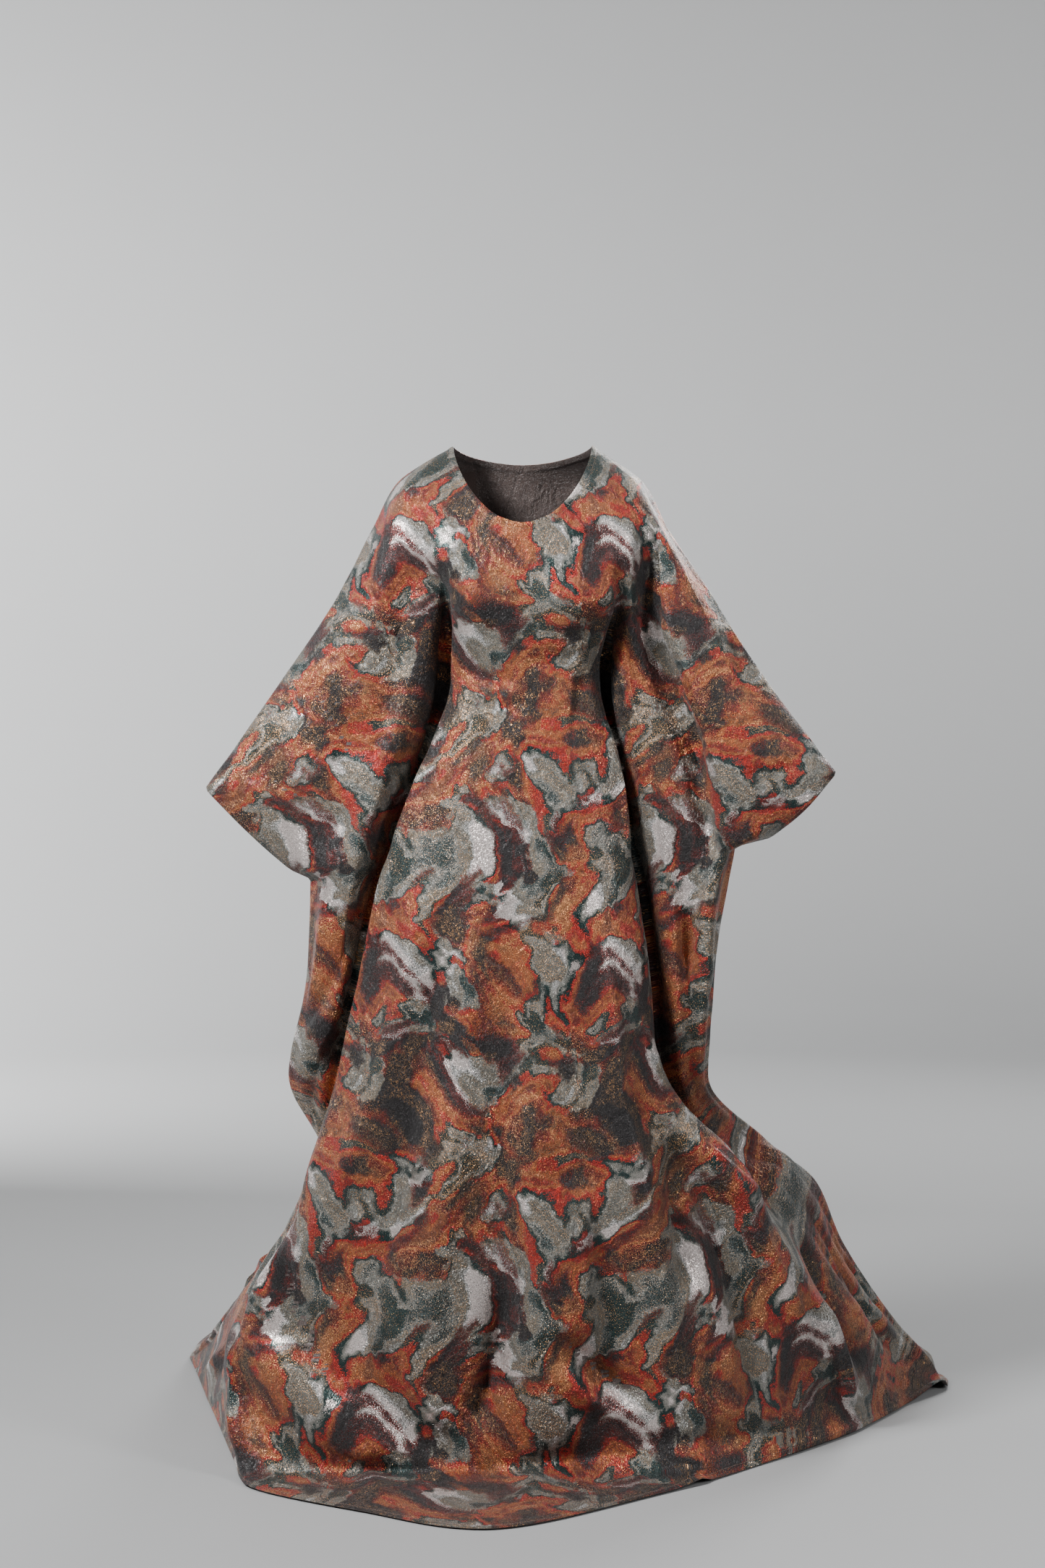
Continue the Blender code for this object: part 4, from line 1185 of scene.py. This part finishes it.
def sweep_material(colour):
    """Matte studio sweep, very slightly mottled."""
    wiring = Wiring("studio_sweep")
    place = wiring.node("TexCoord").outputs["Object"]
    mottle = wiring.node("TexNoise", {"Vector": place, "Scale": MOTTLE_SCALE, "Detail": 3.0}).outputs["Fac"]
    shade = wiring.blend(mottle, opaque(c * MOTTLE_DARK for c in colour), opaque(colour))
    return wiring.finish(Base_Color=shade, Roughness=0.7)


# Studio: floor, wall, camera and lights

# The floor's profile begins at SWEEP_HOLE, has one more point at SWEEP_FLAT of the radius, and then
# bends up. The picture's height is in millimetres, as the focal length is.

SWEEP_HOLE = 10 * MM
SWEEP_FLAT = 0.3
SWEEP_BEND_POINTS = 13
SWEEP_POINTS = 73
PICTURE_HEIGHT = 36.0

LIGHTS = (
    # name, place, what it points at, width and height, watts
    ("key_light", (-2.1, -2.0, 1.7), (0.0, 0.0, -0.15), (0.9, 1.1), 395.0),
    ("fill_light", (2.8, -2.0, 0.8), (0.0, 0.0, -0.4), (0.8, 1.6), 95.0),
    ("top_light", (0.0, -0.4, 3.0), (0.0, 0.0, -0.5), (2.0, 1.4), 40.0),
    ("back_light", (1.9, 3.2, 1.6), (0.0, 0.3, -0.6), (1.6, 1.6), 130.0),
    ("front_wall_light", (0.0, -3.8, 1.2), (0.0, -7.5, 0.8), (3.0, 2.0), 100.0),
    ("left_wall_light", (-3.4, 2.2, 0.8), (-2.8, 7.5, 1.2), (2.0, 2.0), 1180.0),
    ("right_wall_light", (3.8, 2.4, 0.8), (2.8, 7.5, 1.0), (2.0, 2.0), 110.0),
)


def sweep_mesh(name, radius, height, bend):
    """A round floor that turns up into a wall: a profile of a straight line, a quarter circle and
    another straight line, carried once round the upright axis."""
    turn = np.linspace(0, np.pi / 2, SWEEP_BEND_POINTS)
    out = np.concatenate([[SWEEP_HOLE, radius * SWEEP_FLAT], radius - bend + bend * np.sin(turn), [radius]])
    up = np.concatenate([[0.0, 0.0], bend - bend * np.cos(turn), [height]])
    angle = np.linspace(0, 2 * np.pi, SWEEP_POINTS)[:, None]
    points = np.stack([out * np.cos(angle), out * np.sin(angle), up - SHOULDER_HEIGHT + 0 * angle], axis=-1)
    mesh = bpy.data.meshes.new(name)
    mesh.from_pydata(points.reshape(-1, 3).tolist(), [], grid_faces(*points.shape[:2]).tolist())
    mesh.update()
    mesh.shade_smooth()
    return mesh


def hang_light(scene, name, place, target, size, power):
    """A soft light of this width and height, turned towards its target."""
    light = bpy.data.lights.new(name, "AREA")
    light.shape = "RECTANGLE"
    light.size, light.size_y = size
    light.energy = power
    lamp = bpy.data.objects.new(name, light)
    lamp.location = place
    towards = np.array(target) - np.array(place)
    level = math.hypot(towards[0], towards[1])
    lamp.rotation_euler = (math.pi / 2 + math.atan2(towards[2], level), 0,
                           math.atan2(towards[1], towards[0]) - math.pi / 2)
    scene.collection.objects.link(lamp)


def set_camera(scene, studio):
    """A level camera in front of the garment."""
    camera = bpy.data.objects.new("camera", bpy.data.cameras.new("camera"))
    camera.data.sensor_fit = "VERTICAL"
    camera.data.sensor_height = PICTURE_HEIGHT
    camera.data.lens = studio.focal_length
    camera.location = (0, -studio.camera_distance, studio.camera_height - SHOULDER_HEIGHT)
    camera.rotation_euler = (math.pi / 2, 0, 0)
    scene.collection.objects.link(camera)
    scene.camera = camera


# Settings that a user would change


def colour_setting(name, description, default):
    """A colour property."""
    return FloatVectorProperty(name=name, description=description, default=default, subtype="COLOR",
                               min=0.0, max=1.0)


def length_setting(name, description, default):
    """A length property in metres."""
    return FloatProperty(name=name, description=description, default=default, subtype="DISTANCE",
                         unit="LENGTH")


class KaftanYarns(bpy.types.PropertyGroup):
    """Colours of the yarns."""

    satin: colour_setting("Satin", "Pale smooth islands", (0.68, 0.60, 0.57))
    pearl: colour_setting("Pearl", "Light grey yarn", (0.46, 0.46, 0.45))
    silver: colour_setting("Silver", "Cool grey yarn", (0.25, 0.245, 0.22))
    ash: colour_setting("Ash", "Warm grey yarn", (0.22, 0.175, 0.125))
    slate: colour_setting("Slate", "Dark greenish grey yarn", (0.07, 0.09, 0.088))
    teal: colour_setting("Teal", "Blackish green lines", (0.016, 0.036, 0.034))
    crimson: colour_setting("Crimson", "Bright red borders", (0.37, 0.026, 0.018))
    # Gold is the gilt yarn's colour and also the colour of the painted glints on the crinkle's ridges.
    gold: colour_setting("Gold", "Gold yarn", (0.75, 0.40, 0.17))
    honey: colour_setting("Honey", "Golden brown yarn", (0.42, 0.205, 0.085))
    copper: colour_setting("Copper", "Copper yarn", (0.39, 0.115, 0.038))
    rust: colour_setting("Rust", "Rust brown yarn", (0.21, 0.065, 0.03))
    brick: colour_setting("Brick", "Brick red yarn", (0.15, 0.018, 0.014))
    wine: colour_setting("Wine", "Dark red yarn", (0.07, 0.015, 0.014))
    charcoal: colour_setting("Charcoal", "Dark patches", (0.022, 0.019, 0.020))
    reverse: colour_setting("Reverse", "Dull wrong side of the cloth", (0.07, 0.05, 0.045))
    thread: colour_setting("Sewing thread", "Thread of the hems", (0.16, 0.09, 0.06))


class KaftanCloth(bpy.types.PropertyGroup):
    """Sizes of the cloth and its weave."""

    thickness: length_setting("Thickness", "Thickness of the cloth", 1.2 * MM)
    repeat_across: length_setting("Repeat across", "Width of the pattern's repeat", 340 * MM)
    repeat_down: length_setting("Repeat down", "Height of the pattern's repeat", 620 * MM)
    marbling: length_setting("Marbling", "How far the pattern's bands are pulled about", 220 * MM)
    ripple: length_setting("Ripple", "How far the edges of the bands waver", 36 * MM)
    thread: length_setting("Thread", "Width of the speckled threads", 1.3 * MM)
    crinkle: length_setting("Crinkle", "Width of the crinkles", 3.2 * MM)
    relief: length_setting("Relief", "Height of the crinkles", 1.0 * MM)


class KaftanStudio(bpy.types.PropertyGroup):
    """Camera, light and floor."""

    camera_distance: length_setting("Camera distance", "From the camera to the shoulders' plane", 3.2)
    camera_height: length_setting("Camera height", "Height of the camera above the floor", 0.97)
    focal_length: FloatProperty(name="Focal length", description="Focal length, in millimetres, for a "
                                "picture 36 mm high", default=51.33, min=10.0, max=300.0)
    floor_size: length_setting("Floor size", "Width of the round floor", 15.0)
    wall_height: length_setting("Wall height", "Height of the wall round the floor", 7.0)
    wall_bend: length_setting("Wall bend", "Radius in which the floor turns up into the wall", 2.5)
    floor: colour_setting("Floor", "Colour of the floor and the wall", (0.24, 0.242, 0.244))
    background: colour_setting("Background", "Colour of the air above", (0.10, 0.102, 0.105))


# Operators


def add_object(name, mesh, material):
    """A new object at the origin, with its mesh and material."""
    mesh.materials.append(material)
    thing = bpy.data.objects.new(name, mesh)
    bpy.context.scene.collection.objects.link(thing)
    return thing


def build_panel(context, name, node, first, last):
    """One piece of cloth with the stitches of its edges, hung on the root body in place of its solid, which
    is hidden.
    """
    cloth, yarns = context.scene.kaftan_cloth, context.scene.kaftan_yarns
    outer, inner, flat, normal, station = cloth_grid(first, last, cloth.thickness)
    panel = add_object(name, shell_mesh(name, outer, inner, flat), jacquard(name, yarns, cloth))
    row = EDGE_DISTANCES.index(HEM_LINE)
    lines = [(outer[row], normal[row]), (outer[-1 - row], normal[-1 - row])]
    for column in (FEWEST_STEPS, -1 - FEWEST_STEPS):
        cuff = beside_cuff(station[:, column])
        lines.append((outer[cuff, column], normal[cuff, column]))
    stitches = add_object(name + "_stitches", stitches_mesh(name + "_stitches", lines),
                          thread_material(name + "_thread", yarns.thread))
    for piece in (panel, stitches):
        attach(piece, "root")
    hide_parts(node)


class KAFTAN_OT_front(bpy.types.Operator):
    """Build the front panel, cut in one with the front of both sleeves."""

    bl_idname = "kaftan.front"
    bl_label = "Front panel"

    def execute(self, context):
        build_panel(context, "front_cloth", "front_panel", LEFT_LINE, RIGHT_LINE)
        return {"FINISHED"}


class KAFTAN_OT_back(bpy.types.Operator):
    """Build the back panel with its train, cut in one with the back of both sleeves."""

    bl_idname = "kaftan.back"
    bl_label = "Back panel"

    def execute(self, context):
        build_panel(context, "back_cloth", "back_panel", RIGHT_LINE, ROUND)
        return {"FINISHED"}


class KAFTAN_OT_studio(bpy.types.Operator):
    """Lay the floor, hang the lights and set the camera."""

    bl_idname = "kaftan.studio"
    bl_label = "Studio"

    def execute(self, context):
        studio = context.scene.kaftan_studio
        sweep = sweep_mesh("studio_sweep", studio.floor_size / 2, studio.wall_height, studio.wall_bend)
        add_object("studio_sweep", sweep, sweep_material(studio.floor))
        set_camera(context.scene, studio)
        for row in LIGHTS:
            hang_light(context.scene, *row)
        world = bpy.data.worlds.new("studio_air")
        world.use_nodes = True
        world.node_tree.nodes["Background"].inputs["Color"].default_value = opaque(studio.background)
        context.scene.world = world
        return {"FINISHED"}


class KAFTAN_PT_sidebar(bpy.types.Panel):
    """The kaftan's settings and operators."""

    bl_label = "Kaftan"
    bl_idname = "KAFTAN_PT_sidebar"
    bl_space_type = "VIEW_3D"
    bl_region_type = "UI"
    bl_category = "Kaftan"

    def draw(self, context):
        for settings in (context.scene.kaftan_cloth, context.scene.kaftan_yarns, context.scene.kaftan_studio):
            box = self.layout.box()
            for name in settings.__annotations__:
                box.prop(settings, name)
        for operator in OPERATORS:
            self.layout.operator(operator.bl_idname)


OPERATORS = (KAFTAN_OT_front, KAFTAN_OT_back, KAFTAN_OT_studio)
SETTINGS = {"kaftan_yarns": KaftanYarns, "kaftan_cloth": KaftanCloth, "kaftan_studio": KaftanStudio}


def register():
    """Add the classes and their settings to Blender."""
    for kind in (*SETTINGS.values(), *OPERATORS, KAFTAN_PT_sidebar):
        bpy.utils.register_class(kind)
    for name, kind in SETTINGS.items():
        setattr(bpy.types.Scene, name, bpy.props.PointerProperty(type=kind))


def unregister():
    """Take the settings and the classes out again."""
    for name in SETTINGS:
        delattr(bpy.types.Scene, name)
    for kind in (KAFTAN_PT_sidebar, *OPERATORS[::-1], *SETTINGS.values()):
        bpy.utils.unregister_class(kind)


def main():
    """Build everything in order."""
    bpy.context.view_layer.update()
    register()
    for build in (bpy.ops.kaftan.front, bpy.ops.kaftan.back, bpy.ops.kaftan.studio):
        build()


if __name__ == "__main__":
    main()
